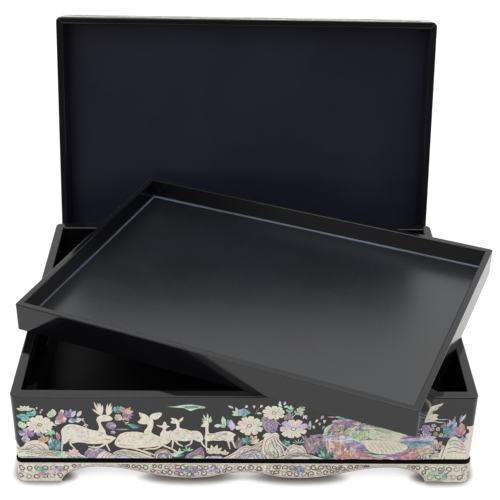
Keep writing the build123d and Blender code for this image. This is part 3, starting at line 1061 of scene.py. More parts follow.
fan(flowers, (-130.4, 40.6), [5, 4.6], 4.4, 262, 300, "lilac blue", round_tip=True)
fan(flowers, (-126.6, 40.6), [4.6, 3.8], 3.4, 276, 310, "sage cream", round_tip=True)
sprig(flowers, "-124.6,39.6 -122.4,38.6 -121.2,35.6 -120.6,33", 2.4, "blush lilac", pairs=2)
sprig(flowers, "-146,32 -143,34.6 -140.4,36.4", 3, "sage cream", pairs=3)
broken(flowers, "-148.6,9 -149,17 -146,19.6 -141.6,18 -141,9", "moss blue moss teal sage", 4, 85, 1)
fan(flowers, (-142, 18.4), [8.6, 7], 2.4, 92, 78, "rose blush", layer=4)
fan(flowers, (-131, 4), [5.4, 6.6, 6.8, 6, 5], 3, 156, 24, "rose blush gold", layer=24)
fan(flowers, (-116, 8), [5, 6, 5], 1.6, 150, 30, "mauve sage", layer=1)
blossom(flowers, (-101.9, 33), 4.2, "violet lilac violet", petals=6, layer=2, eye="pearl")
blossom(flowers, (-100.8, 26.3), 1.9, "mauve lilac", petals=5, layer=2)
fan(flowers, (-99, 29.2), [11], 1.2, 2, 2, "mauve")
blossom(flowers, (-96.3, 48.6), 3.7, "teal moss teal", petals=5, layer=3, eye="moss")
blossom(flowers, (-96.2, 41), 3.3, "rose blush", petals=6, layer=4, eye="sage")
fan(flowers, (-92.9, 44.2), [9.4, 9, 8.4, 8, 8.2], 3.4, 46, -56, "gold rose rose violet", layer=4)
fan(flowers, (-93.4, 46), [6, 5.4], 3, 92, 68, "rose gold", layer=3)
sprig(flowers, "-93.6,42 -92.6,38 -90,35", 2.2, "gold sage", pairs=2)
fan(flowers, (-90.4, 35), [11.6, 10.4, 8.4], 1.9, 346, 322, "teal moss")
flowers.build("box")

# %% [markdown]
# In the middle are a cloud, three great blossoms with their leaves, and low plants along the foot.
# The blossoms are built up from a disc, so that no lacquer shows between their petals near the eye.

# %% Front: flowers in the middle
middle = Inlay("front_blossoms", front, ease=front_ease, seed=73)
middle.shape("-60,51.6 -60,51.6 -54.9,51.8 -51.5,52.4 -48,53.2 -42,53.6 -37.7,52.9 -32.4,51.8 -32,50.4 "
    "-34.2,50 -38,50 -42,47.7 -45,48.8 -48,50.4 -54,50.8", "mint", 2)
middle.shape("-47,51.2 -42,52.4 -36,51.4 -40,50.6 -44,50", "moss", 3, edge=0.3)
middle.stroke("-52,51.6 -46,52.8 -38,52.4 -33,51", 0.5, 5, tint="pearl", taper=True)
middle.stroke("-46,49.4 -42,48.6 -36,50.4", 0.5, 5, tint="pearl", taper=True)
tuft(middle, (-54, 2), 8, "teal mint sage teal", blades=9, layer=10)
tuft(middle, (-51.4, 6), 7, "moss sage", blades=3, layer=1)
tuft(middle, (-45, 8), 6.4, "sage mint", blades=4, layer=1)
fan(middle, (-25.4, 6), [6, 7.6, 8.8, 9, 8.4, 7.6], 2.8, 165, 12, "cream cream blush", layer=10)
fan(middle, (-17.4, 4.4), [4.6, 5.4, 4.6], 2.2, 130, 40, "cream", layer=10)
fan(middle, (-20, 33.6), [5.2], 3.4, 186, 186, "pearl")
fan(middle, (-17, 31.4), [11.6, 5], 3.6, 98, 130, "blush mint")
fan(middle, (-11.6, 28.6), [12, 11, 8], 4, 106, 84, "violet lilac violet")
broken(middle, "-8.6,12 -8.4,18 -6,20 -3.6,18 -4,12.6", "mauve umber mauve", 3, 70, 1)
fan(middle, (-6.2, 44), [5.6, 6.6, 8], 2.4, 178, 112, "mint sage mint")
blossom(middle, (-3.6, 46.4), 4.4, "teal teal blue", petals=5, layer=5, eye="teal")
fan(middle, (-1.4, 44.4), [5, 4.4], 2.2, 70, 40, "teal sage", layer=4)
fan(middle, (-10.6, 50.2), [4.8], 1.9, 146, 146, "blush")
buds(middle, "-2.2,50.6 4.6,50.2 9,50.6", 3.4, "mauve lilac blush")
fan(middle, (6.6, 45.6), [4], 1.8, 0, 0, "cream")
middle.line("8.6,50.6 6.6,47.4 5.4,44.8", 0.4, 2, tint="mauve")
blossom(middle, (1.5, 33.5), 11.2, "cream cream sage blush cream", petals=10, squash=0.92, turn=12,
    eye="blush")
blossom(middle, (19.5, 46), 9.2, "cream sage cream", petals=9, squash=0.87, turn=8, eye="sage")
blossom(middle, (34.8, 30.5), 11.6, "cream cream blush lilac cream", petals=9, squash=0.9, turn=20,
    eye="pearl")
for x, y, turn in ((24.2, 53.6, 96), (27.2, 53.4, 78), (27, 51.4, 20), (25.6, 52, 140)):
    middle.cut(turned(leaf(3.8, 1.8), (x, y), turn), "pearl", 3)
broken(middle, "10.4,39 11.4,42 15,42.4 17,38.6 22,36 22,29 17.6,27 13.6,29 11.6,34",
    "violet mauve violet", 4.2, 60, 0)
for k, (x, y) in enumerate(((17, 37.4), (19, 36), (20.4, 34.4), (15.6, 32.6))):
    middle.stroke([(x, y), (x + 2.2, y + 1.4), (x + 4.6, y + 1 - 0.4 * k)], 0.4, 6, tint="pearl")
broken(middle, "27.6,40 28.4,44 31,45 34,43.4 33.6,40", "mauve rose mauve", 3.4, 80, 0)
sprig(middle, "31,45 31.4,48 31.8,50", 3.6, "mint", pairs=2)
sprig(middle, "34,42 37,46 39,48.4 41,50.6", 3.6, "sage cream mint", pairs=4)
sprig(middle, "38,46 41,44.6 43,42.4", 2.8, "cream sage", pairs=2)
for k, (x, y) in enumerate(((-0.2, 17.4), (28.6, 14.6))):
    fan(middle, (x, y), [4.6, 5.6, 6, 5.6, 4.6], 3, 170, 10, "moss teal moss", layer=16, seed=97 + k)
    fan(middle, (x, y + 0.6), [3.4, 4, 3.4], 2, 205, 335, "moss", layer=16, seed=99 + k)
fan(middle, (39.2, 16), [4, 5, 5.4, 5, 4], 2.6, 175, 5, "line", layer=30, seed=101)
for k in range(5):
    middle.line(turned("1,0 4.6,0.4", (39.2, 16.2), 160 - 35 * k), 0.35, 36, tint="pearl")
fan(middle, (4, 15.4), [6.4, 9.4, 9.4, 7], 3.4, 122, 46, "gold blush gold", layer=14)
middle.build("box")

# %% [markdown]
# The phoenix lies along the lower right over ground that has no lacquer left bare: short leaves of
# every tint, laid over each other like thatch. Its neck arches up from a scaled body, its wing is a
# fan of long cream feathers, and its violet tail streams to the right.

# %% Front: broken colour under the phoenix
thatch = Inlay("front_thatch", front, ease=front_ease)
patches = (
    ("42.4,8 43,20 50,21.6 58,20.6 61,14 57,8.6 50,6", "mauve rose mauve moss violet", 4.6, 100),
    ("56,1 55,7 57,11.4 63,11.6 67.6,8 69,1", "moss teal line moss", 4, 60),
    ("61,9 61,20 68,20.6 75,18.6 75,9 70.6,1 66.6,1 66,6", "gold blush rose mauve lilac", 4.6, 80),
    ("72.6,9 73,19 80,19 89,17 92,10 86,6.4 78,7.6", "violet lilac violet rose", 4.6, 20),
    ("69,1 70,7.6 74,10.4 82,9.6 85,4 83,1", "gold rose gold blush", 4, 30),
    ("80,1 81,7 90,6.4 98,5.4 107,4.6 109,1", "rose blush rose violet", 6, -5),
    ("104,0.9 106,6 113,8 121,8 123,0.9", "violet lilac rose violet", 6, 15),
    ("116,0.9 118,9 124,13 132.6,13 135,8 133,0.9", "rose blush rose rose", 7, 25),
    ("131,6.6 132,13 141,13 142,6.6", "gold sage gold", 4, 20),
    ("131.6,0.9 132,7.4 138,8.6 144,9 143,2 140,0.9", "moss sage moss teal", 4, 70),
    ("134,11.6 133.6,22.6 142.6,22.6 144,12", "lilac blush rose lilac", 4, 80),
    ("122,11 123,18 134,18 141,15 139,10.6 130,10.6", "teal mint teal blue", 7, 5),
    ("112,15 116,23.6 128,24.2 141.6,23.2 142,17 130,15.4", "violet lilac violet blue", 9, 2),
    ("57.6,25.6 58,20 64,18.4 76,18.4 76,26.6 66,27.6", "blue lilac pearl lilac", 5, 10),
    ("60,25 60,31 64,35 72,35.6 77,30 74,25", "moss lime gold rose", 4, 60),
    ("72,18 72,25 76,27.6 82,25.6 82,18", "teal pearl teal", 4.6, -40),
    ("77.4,24 78,31 84,33.6 89.6,31 89.6,19 83,18.6", "lime mint lime sage", 4.6, 70),
    ("76,30 84,34.8 90,36.4 95,33 88,29", "mauve sage mauve", 4, 20),
    ("84.6,18.6 86,31 92,33.4 96,28 95,18.6", "mauve blush rose sage", 4, 80),
    ("93,18.6 93.6,28 97,31 101,28.6 100,18.6", "mint teal mint lime", 4, 75),
    ("63.6,33.6 66,38.6 74,40.6 84.6,37.6 80,33.6 73,30", "rose blush rose violet", 5, 10),
)
for k, (outline, tints, size, heading) in enumerate(patches):
    broken(thatch, outline, tints, size, heading, 4 * (k % 3), 110 + k)
thatch.build("box")

# %% [markdown]
# Feathers are leaves with an engraved rib, laid over each other in rows. The body is one large
# piece, and its scales are short engraved arcs.

# %% Front: phoenix and crane
birds = Inlay("front_phoenix", front, ease=front_ease, seed=102)


def feather_row(inlay, start, end, count, length, width, heading, tints, layer, seed=None, rib=0.22):
    """Feathers side by side from start to end, all pointing about the same way."""
    dice = random.Random(inlay.seeded(seed))
    for k in range(count):
        t = k / max(count - 1, 1)
        at = (start[0] + (end[0] - start[0]) * t, start[1] + (end[1] - start[1]) * t)
        reach = length * dice.uniform(0.85, 1.1)
        angle = heading + dice.uniform(-7, 7)
        inlay.cut(turned(leaf(reach, width, 0.6), at, angle), pick(tints, dice), layer + k % 2)
        rib_line = turned([(reach * 0.15, 0), (reach * 0.5, 0.15), (reach * 0.8, 0.4)], at, angle)
        inlay.line(rib_line, rib, layer + 2, tint="umber")


birds.cut(turned(leaf(7, 1.7, -0.3), (60, 42.4), 0), "rose", 14)
birds.cut(turned(leaf(9.4, 2.2, -1.6), (65.4, 42.6), -8), "teal", 15)
birds.shape("72,40.6 75,39.8 77.6,38.4 74,37 70,38.4", "sage", 14)
birds.stroke("58.6,24.6 59,29 61.6,33 65.4,35.8", 2.0, 16, tint="mint", taper=True)
birds.stroke("59.8,24.4 60.4,28.4 63,32", 0.8, 17, tint="teal", taper=True)
feather_row(birds, (64, 36), (70, 38), 3, 12, 3, -8, "rose blush violet", 14)
feather_row(birds, (72, 35), (75, 37), 3, 11, 2.8, 14, "violet lilac violet", 15)
birds.stroke("58.6,21.4 64,19.4 72,19 80,20.4 86,18.6 90,14.6 92,10", 1.3, 18, tint="pearl", taper=True)
feather_row(birds, (66, 29), (70, 31), 3, 5, 2, 30, "gold rose", 15)
feather_row(birds, (92.4, 26), (93.6, 30), 2, 5, 1.6, 80, "rose", 15)
fan(birds, (91, 32.4), [31, 30.4, 29, 27, 24], 4.6, -14, -24, "cream blush cream sage", bend=1.6,
    layer=14)
fan(birds, (96.6, 24.6), [24, 23, 21.4, 19], 4.4, -6, -22, "cream blush cream", bend=0.8, layer=20)
birds.shape("90.4,24 91,33.6 100,32 112,28.6 121,25.6 124,21 121,18.6 104,18.8", "sage", 13)
birds.shape("86,19.4 89.4,16.6 91.6,12 94.4,8.6 100,6.4 107,5.8 114,6.4 120,8.6 124,12 121,16 114,18.6 "
    "104,19.6 96,20", "cream", 26, edge=0.3)
for row in range(4):
    for k in range(8):
        x, y = (94.6 + 3.4 * k + 1.7 * (row % 2), 9.4 + 2.5 * row - 0.1 * k)
        arc = turned([(1.5 * cos(a), 1.3 * sin(a)) for a in (2.2, 3.14, 4.1, 5)], (x, y))
        birds.line(arc, 0.26, 30, tint="mauve")
feather_row(birds, (90, 9), (96, 4.6), 4, 12, 2, -14, "mint moss mint", 22)
feather_row(birds, (116, 21.6), (119, 17), 4, 23, 3, 0, "violet lilac violet blue", 20, seed=113)
feather_row(birds, (124, 16), (126, 13), 3, 14, 2.4, 0, "teal mint blue", 21)
feather_row(birds, (82, 4.6), (96, 2.6), 5, 11, 2.8, -6, "rose blush rose", 14)
feather_row(birds, (105, 2), (112, 3.4), 4, 11, 3, 12, "violet lilac violet", 14)
feather_row(birds, (117, 3), (123, 8), 6, 12, 3, 26, "rose blush rose rose", 14)
fan(birds, (67, 12), [6, 7, 7.4, 7, 6], 2.6, 150, 20, "gold gold blush", layer=14)
fan(birds, (68, 12), [4.4, 5, 4.4], 2.2, 230, 300, "rose", layer=14)
blossom(birds, (79, 13.4), 4.4, "violet lilac rose", petals=6, layer=14, eye="rose")
fan(birds, (78, 3), [5.4, 6, 6, 5], 2.8, 150, 40, "gold rose gold", layer=14)
fan(birds, (47.6, 12), [5, 7, 7, 5], 3, 130, 60, "rose violet mauve", layer=14)
feather_row(birds, (47, 23), (53, 25.4), 4, 5.6, 2, -20, "rose violet blush", 14)
fan(birds, (60, 3), [6, 7.4, 7, 5.4], 2.2, 160, 40, "moss teal mint", layer=14)
buds(birds, "55,39.8 51,36.6 58,35.8 54.6,33.6 50.6,30.4 56.6,30", 3.6, "mint blush lilac mauve", turn=80)
fan(birds, (47.4, 29.6), [9, 7], 2.2, 92, 118, "lilac mauve")
birds.build("box")

# %% [markdown]
# The right end is the busiest: a crane's wing that rises over curls and small flowers, a brown lotus,
# a cluster of grey and blue leaves and a pink flame flower. Pieces here are as small as a saw allows.

# %% Front: the right end
corner = Inlay("front_right_end", front, ease=front_ease, seed=138)
corner.cut("134.6,37.2 135.4,42 137.9,52.6 142,54 147.4,56.2 146,53.4 144.4,52.6 143.4,50 140.4,48 "
    "139.6,45.2 142,45.6 144.8,44.6 143.4,42.6 144.8,40.6 141.4,38.2", "cream", 4)
for start, end in (((136, 39), (141, 43.4)), ((136.6, 42), (142, 50.6)), ((137.4, 45), (145, 54.4)),
    ((137, 40), (142, 40))):
    corner.line([start, end], 0.25, 6, tint="umber")
corner.stroke("143,40.6 148,40.2 152.6,40.4", 0.8, 3, tint="lilac", taper=True)
corner.stroke("141,38.4 146,37.6 151,37", 0.8, 3, tint="pearl", taper=True)
buds(corner, "131,25.4 132.6,29.4 133.4,32 134.4,26.6", 1.9, "cream pearl")
blossom(corner, (136.6, 31.6), 4, "violet rose violet", petals=6, layer=2, eye="blush")
blossom(corner, (137.4, 25.8), 3.6, "violet lilac violet", petals=6, layer=2, eye="blush")
for k, (x, y) in enumerate(dots("142,34.6 146,30.6 144,26 148.6,25 141.4,30.4 149,33.4")):
    corner.line(turned(spiral(1.9, hand=1 if k % 2 else -1, start=60 * k), (x, y)), 0.55, 4,
        tint=("pearl", "cream", "gold")[k % 3])
fan(corner, (145.6, 11), [7, 9, 10, 9.4, 8], 3.8, 155, 30, "gold mauve gold blush", layer=16)
fan(corner, (147, 11.4), [5, 6, 5], 2.6, 130, 50, "mauve umber", layer=20)
fan(corner, (144.6, 7.6), [4, 4.4, 4], 2, 160, 20, "mauve lilac", layer=14)
broken(corner, "151,24 150.6,33 154,37 159.6,35 160.4,28 156.6,22.6", "blue mauve lilac moss", 4.2, 60, 2)
fan(corner, (152, 27), [6, 6.6, 6], 2.2, 110, 40, "teal pearl teal", layer=8)
fan(corner, (156.4, 35), [6, 8.6], 2, 120, 80, "lilac mauve", layer=2)
fan(corner, (162, 37), [8, 9.6], 2, 84, 66, "lilac violet", layer=2)
fan(corner, (163.4, 23.4), [8, 11, 14.4, 12, 8.4], 3, 124, 62, "rose rose gold", layer=14)
fan(corner, (163.4, 31), [6.4, 5.6], 2.6, 86, 70, "gold", layer=20)
fan(corner, (166.4, 19.4), [4.6, 5.4, 4.6], 2.6, 150, 50, "blue lilac", layer=20)
corner.shape("166.8,26 166.8,30.4 169.4,31 170,27.4", "gap", 12)
corner.build("box")

# %% [markdown]
# The plinth is veneered all over. Its sheet of shell is taken from the apron's own outer face, so
# that it follows the scalloped edge exactly, and is given a thickness. Scrolls in darker shell wind
# over it, as large as the height of the apron allows, with a lotus on each foot and blossoms between.

# %% Plinth: veneer
veneer_thick = 0.15


def veneer(side):
    """A closed sheet over an apron's outer face."""
    mesh = bmesh.new()
    mesh.from_mesh(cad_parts[f"plinth_{side}"].data)
    bmesh.ops.remove_doubles(mesh, verts=mesh.verts[:], dist=1e-6)
    away = [face for face in mesh.faces if face.normal.dot(aprons[side].out) < 0.6]
    bmesh.ops.delete(mesh, geom=away, context="FACES")
    mesh.normal_update()
    under = {v.index: v.normal.copy() for v in mesh.verts}
    base = [v.co.copy() for v in mesh.verts]
    rings = [[v.index for v in face.verts] for face in mesh.faces]
    mesh.clear()
    lower = [mesh.verts.new(p) for p in base]
    upper = [mesh.verts.new(p + under[i] * veneer_thick * MM) for i, p in enumerate(base)]
    edges = {(a, b) for ring in rings for a, b in zip(ring, ring[1:] + ring[:1])}
    for ring in rings:
        mesh.faces.new([upper[i] for i in ring])
        mesh.faces.new([lower[i] for i in reversed(ring)])
    for a, b in sorted(edges):
        if (b, a) not in edges:
            mesh.faces.new((lower[a], lower[b], upper[b], upper[a]))
    made = made_from(mesh, f"plinth_{side}_veneer", ["cream"])
    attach(made, "box")
    return base


def edge_height(side, base):
    """A function for the height of the scalloped edge, read off the veneer's own outline."""
    face = aprons[side]
    top = span([f"plinth_{side}"], Z)[1] / MM
    places = [((p - face.foot).dot(face.along) / MM, p.z / MM) for p in base]
    outline = sorted(p for p in places if p[1] < top - 1 and abs(p[0]) < face.flat)

    def height(place):
        for (x1, y1), (x2, y2) in zip(outline, outline[1:]):
            if x1 <= place <= x2 and x2 > x1:
                return y1 + (y2 - y1) * (place - x1) / (x2 - x1)
        return 0.0
    return height, top, outline


def lotus(inlay, at, size, tints, layer=3, seed=1):
    """Petals fanned upwards over a smaller fan that hangs down, on a small eye."""
    above, below = tints
    fan(inlay, at, [size * k for k in (0.8, 1, 1.1, 1, 0.8)], size * 0.5, 172, 8, above, layer=layer,
        seed=seed)
    fan(inlay, (at[0], at[1] - size * 0.1), [size * k for k in (0.7, 0.9, 1, 0.9, 0.7)], size * 0.44,
        205, 335, below,
        layer=layer, seed=seed + 1)
    inlay.cut(turned(disc(size * 0.16, 8), at), "gold", layer + 5)


def fits(points, height, top):
    """Whether a drawing keeps clear of the apron's upper and lower edge."""
    return all(height(x) + 0.9 < y < top - 1.0 for x, y in points)


def scrolls(inlay, start, end, tints, height, top, seed):
    """Curls in one row or two, as large as the apron's height allows, over leaves in these tints."""
    dice = random.Random(seed)
    place, k = start, 0
    while place < end:
        low = max(height(place + d) for d in (-2, 0, 2)) + 1.0
        band = top - 1.2 - low
        rows = 2 if band > 7.6 else 1
        size = min(band / (2.05 * rows), 3.0)
        for row in range(rows if size > 0.75 else 0):
            at = (place + size * 0.6 * row, low + band * (row + 0.5) / rows)
            for _ in range(3):
                angle = dice.uniform(0, 360)
                spot = (at[0] + size * 0.8 * cos(radians(angle)), at[1] + size * 0.8 * sin(radians(angle)))
                shape = turned(leaf(size * dice.uniform(0.9, 1.5), size * 0.62, 0.3), spot, angle + 80)
                tint = pick(tints, dice)
                if fits(shape, height, top):
                    inlay.cut(shape, tint, 1 + row, edge=0.14)
            bend, hand = dice.uniform(0, 360), 1 if (k + row) % 2 else -1
            curl = turned(spiral(size * 0.92, turns=1.05, start=bend, hand=hand, depth=0.62), at)
            inlay.line(curl, 0.85, 6, tint=pick("umber umber mauve", dice))
        place += max(size * 2.0, 2.4)
        k += 1


def edge_lines(inlay, rim, half, top):
    """A pale line with a thin dark one inside it along the scalloped edge, and one along the top. The dark
    line at the very edge, outside the pale one, is painted shade along the plinth's lower edge.
    """
    # The umber line at inset 0.25 sits at the very edge: painted shade where the plinth meets the table.
    for inset, width, tint in ((0.85, 0.7, "cream"), (0.25, 0.5, "umber"), (1.4, 0.2, "umber")):
        path = []
        for (x1, y1), (x2, y2) in zip(rim, rim[1:]):
            size = hypot(x2 - x1, y2 - y1)
            if size > 0.3:
                path.append(((x1 + x2) / 2 - (y2 - y1) / size * inset,
                    (y1 + y2) / 2 + (x2 - x1) / size * inset))
        inlay.line(path, width, 2 if tint == "cream" else 3, tint=tint)
    inlay.line([(1 - half, top - 0.5), (half - 1, top - 0.5)], 0.7, 1, tint="cream")
    inlay.line([(1 - half, top - 1.0), (half - 1, top - 1.0)], 0.18, 2, tint="umber")


def dress_apron(side, seed, zones, flowers, ease=None):
    """Scrolls in each zone (start, end, tints) and flowers (x, y, size, tints, squash) over them."""
    height, top, rim = edge_height(side, veneer(side))
    face = aprons[side]
    half = face.length / 2
    inlay = Inlay(f"plinth_{side}_scrolls", face, base=veneer_thick)
    edge_lines(inlay, rim, half, top)
    for k, (start, end, tints) in enumerate(zones):
        scrolls(inlay, eased(start, ease), eased(end, ease), tints, height, top, seed + k)
    for k, (x, y, size, tints, squash) in enumerate(flowers):
        blossom(inlay, (eased(x, ease), y), size, tints, petals=7, layer=9, squash=squash, eye="blush",
            seed=seed + 30 + k)
    foot = half - 19
    lotus(inlay, (-foot, 9.6), 5.4, ("teal mint teal", "rose blush rose"), layer=9, seed=seed + 50)
    lotus(inlay, (foot - 2, 8.6), 5.2, ("mauve sage mauve", "teal mint"), layer=9, seed=seed + 52)
    inlay.build("box")


# %% [markdown]
# The front apron's colours change from place to place: pink and brown curls at the left, teal and
# violet flowers before the middle, brown in the lobe and tan at the right, with a green and a grey
# flower on the right foot. The other three aprons weren't in the picture and take the same kinds.

# %% Plinth: the four aprons
front_zones = (
    (-171, -125, "blush cream sage rose"), (-97, -68, "rose blush cream rose"), (-67, -60, "sage mint blush"),
    (-59, -51, "blush rose"), (-50, -34, "teal violet lilac"), (-33, -18, "lilac violet pearl"),
    (-17, -6, "mauve blush cream"), (-5, 1, "sage mint cream"), (3, 9, "pearl cream"),
    (10, 21, "blush rose cream"),
    (23, 31, "gold teal cream"), (33, 48, "blush cream"), (50, 96, "gold blush cream mauve"),
    (126, 141, "mauve blush cream"),
    (143, 170, "sage mint cream mauve"),
)
front_blooms = (
    (-143, 12.4, 4.4, "mauve lilac", 0.7), (-42, 12, 6.4, "teal violet mauve", 0.62),
    (-25, 12, 4.2, "violet lilac", 0.9), (40, 13, 7, "blue mauve blue", 0.5),
    (145, 8, 4, "moss mint", 0.8))
dress_apron("front", 200, front_zones, front_blooms, ease=(2.5, 65))
for k, side in enumerate(("right", "back", "left")):
    reach = aprons[side].length / 2
    tints = ("rose blush cream mauve", "teal violet lilac sage", "cream gold blush mauve")
    step = reach / 3
    zones = [(-reach + 4 + z * step, -reach + 4 + (z + 1) * step - 8 * (z == 5), tints[(z + k) % 3])
             for z in range(6)]
    blooms = [(reach * x, 12, size, pick("violet teal blue rose", random.Random(k + size)) + " mauve",
               0.75) for x, size in ((-0.24, 5), (-0.12, 4), (0.1, 4.4), (0.25, 5.2))]
    dress_apron(side, 260 + 60 * k, zones, blooms)

# %% [markdown]
# The other sides carry the same kinds of motif in other orders. The picture doesn't show them, so
# they are composed here by chance draws from a fixed seed: banks all along the foot, clusters of
# blossoms with sprigs and small bright flowers, and animals set in the gaps that are left for them.

# %% Motifs for the other sides
def crane(inlay, at, size=1.0, mirror=False, layer=8, seed=1):
    """A crane in flight, facing right unless mirrored, placed by the middle of its body."""
    dice = random.Random(seed)

    def place(points):
        return turned(points, at, size=size, mirror=mirror)
    for root, lengths, start, end in (((1, 1.6), (12, 17, 21, 22, 20, 15), 128, 74),
                                      ((-2, 0.6), (11, 15, 18, 18, 14), 212, 158)):
        for k, length in enumerate(lengths):
            angle = start + (end - start) * k / (len(lengths) - 1)
            tint = "blue" if length < 13 else pick("cream pearl cream", dice)
            inlay.cut(place(turned(leaf(length, 4, -1.2), root, angle)), tint, layer + k % 3)
            inlay.line(place(turned([(length * 0.2, 0), (length * 0.75, -0.6)], root, angle)), 0.22,
                layer + 4)
    for angle in (176, 188, 200):
        inlay.cut(place(turned(leaf(8, 2.4), (-7, -1), angle)), "line", layer)
    for rise in (-2.2, -3):
        inlay.line(place([(-6, rise), (-14, rise - 1.6), (-23, rise - 2.2)]), 0.6, layer, tint="umber")
    neck = smooth("7,0.4 12,3.4 17,3.6 22,6.4", closed=False)
    inlay.line(place(neck), 1.7, layer + 2, tint="pearl")
    inlay.line(place("24,7 29,8"), 0.6, layer + 2, tint="umber", taper=True)
    inlay.cut(place(turned(disc(1.7, 10), (23, 6.8), squash=0.75)), "cream", layer + 3)
    inlay.cut(place(turned(disc(0.7, 7), (23.4, 7.8), squash=0.6)), "rose", layer + 4)
    inlay.cut(place(smooth("-10,-1 -4,-3.6 3,-3.2 8.6,0 8,1.8 2,2.8 -4,2")), "cream",
              layer + 3, edge=0.3)


def pine(inlay, trunk, size, layer=2, seed=1, limbs=4):
    """A bent pine: a thick trunk with limbs, each under round cushions of needles."""
    dice = random.Random(seed)
    path = smooth(trunk, closed=False, steps=5)
    last = len(path) - 1
    leg(inlay, trunk, lambda points: points, "umber", layer, thick=size * 0.34)
    for k in range(limbs + 1):
        at = path[round(last * (0.35 + 0.65 * k / limbs))]
        side = 1 if k % 2 else -1
        reach, rise = side * size * dice.uniform(0.9, 1.4) * (k < limbs), size * dice.uniform(0.2, 0.5)
        tip = (at[0] + reach, at[1] + rise)
        joints = [at, ((at[0] + tip[0]) / 2, at[1] + 0.5), tip]
        leg(inlay, joints, lambda points: points, "umber", layer + 1, thick=size * 0.12)
        for dx, dy in ((-0.5, 0), (0.5, 0.05), (0, 0.35)):
            spot = (tip[0] + dx * size, tip[1] + dy * size)
            lengths = [size * 0.62 * dice.uniform(0.9, 1.05) for _ in range(11)]
            cushion = [(0, -0.3), (size * 0.5, 0), (size * 0.3, size * 0.34),
                       (-size * 0.3, size * 0.34), (-size * 0.5, 0)]
            inlay.cut(turned(cushion, spot), "teal", layer + 2)
            fan(inlay, spot, lengths, size * 0.13, 178, 2, "mint teal mint", layer=layer + 3,
                seed=seed + k, rib=0)


def bamboo(inlay, at, height, layer=2, seed=1, canes=3):
    dice = random.Random(seed)
    for k in range(canes):
        x = at[0] + 4.6 * (k - (canes - 1) / 2) + dice.uniform(-0.8, 0.8)
        rise, tall = at[1], height * dice.uniform(0.75, 1.0)
        while rise < at[1] + tall:
            joint = dice.uniform(6, 8.5)
            top = rise + joint - 0.7
            cane = [(x - 0.8, rise), (x + 0.8, rise), (x + 0.8, top), (x - 0.8, top)]
            inlay.cut(cane, pick("mint mint gold", dice), layer)
            if dice.random() < 0.75:
                side = dice.choice((-1, 1))
                lengths = [dice.uniform(5, 8) for _ in range(4)]
                fan(inlay, (x + side, rise + joint), lengths, 1.7, -90 + side * 20, -90 + side * 100,
                    "mint teal mint", layer=layer + 1, seed=seed + k + round(rise), rib=0)
            rise += joint


def cloud(inlay, at, size, tints="mint pearl", layer=2, seed=1, mirror=False):
    """A drift of cloud: a long streak with curled heads."""
    dice = random.Random(seed)
    body = "-14,-0.6 -14,-0.6 -7,0.2 -3,2 2,1.4 6,2.4 10,0.8 14,0.2 11,-1 4,-1 0,-2.6 -5,-1.2"
    inlay.cut(turned(smooth(body), at, size=size, mirror=mirror), pick(tints, dice), layer)
    for x, y, r in ((-3, 0.2, 1.6), (3, 0.1, 1.3), (8, 0.2, 1.0)):
        curl = turned(spiral(r, turns=1.2, start=200), (x, y))
        inlay.line(turned(curl, at, size=size, mirror=mirror), 0.3, layer + 1)


def water(inlay, left, right, low, rows, layer=0, seed=1, size=5.2):
    """Rows of waves, each a scale of nested arcs."""
    dice = random.Random(seed)
    for row in range(rows - 1, -1, -1):
        x = left + (size if row % 2 else 0)
        while x <= right:
            tone = pick("blue teal pearl blue", dice)
            for ring, tint in ((1.0, tone), (0.68, "pearl"), (0.36, tone)):
                arch = [(size * ring * cos(pi * i / 8), size * 0.8 * ring * sin(pi * i / 8))
                    for i in range(9)]
                inlay.cut(turned(arch, (x, low + row * size * 0.55)), tint,
                          layer + 4 * (rows - row) + round(3 - 3 * ring))
            x += 2 * size


def cluster(inlay, at, size, seed, layer=4):
    """A large pale blossom with sprigs, buds and two small bright flowers about it."""
    dice = random.Random(seed)
    x, y = at
    lean = dice.uniform(-25, 25)
    for angle in (60 + lean, 105 + lean, 150 + lean):
        c, s = cos(radians(angle)), sin(radians(angle))
        stem = [(x + c * size * f + dice.uniform(-1, 1), y + s * size * f) for f in (0.8, 1.3, 1.8)]
        sprig(inlay, stem, size * 0.36, pick("mint teal pearl gold", dice) + " mint", pairs=2,
              layer=1, seed=seed + round(angle))
    for angle in (dice.uniform(-40, 20), dice.uniform(160, 220)):
        spot = (x + 1.2 * size * cos(radians(angle)), y + 1.0 * size * sin(radians(angle)))
        blossom(inlay, spot, size * 0.46, pick("rose violet teal", dice) + " rose", petals=6,
                layer=2, eye="cream", seed=seed + 5)
    blossom(inlay, at, size, "cream cream pearl", petals=dice.choice((9, 10, 11)), turn=dice.uniform(0, 30),
            squash=0.94, layer=layer, eye="pearl", seed=seed + 9)


def banks_along(inlay, left, right, low, tall, seed, tints="cream cream pearl rose mint gold"):
    """Banks from one end to the other, each leaning on its neighbour."""
    dice = random.Random(seed)
    x = left
    k = 0
    while x < right:
        width = dice.uniform(0.9, 1.9) * tall * 1.7
        rise, tone = tall * dice.uniform(0.55, 1.15), pick(tints, dice)
        rock(inlay, (x + width / 2, low), width, rise, f"cream {tone} cream", rings=4, layer=8 * (k % 2),
             seed=seed + k, lumps=dice.choice((2, 3)))
        x += width * 0.72
        k += 1


print("motifs ready")

# %% [markdown]
# Each of the three sides is put together in the same order: banks, then plants, then animals, which
# lie over both. The right side has a stag that meets a doe, the back has two cranes, a stag and a
# fawn, and the left has a crane over two fawns.

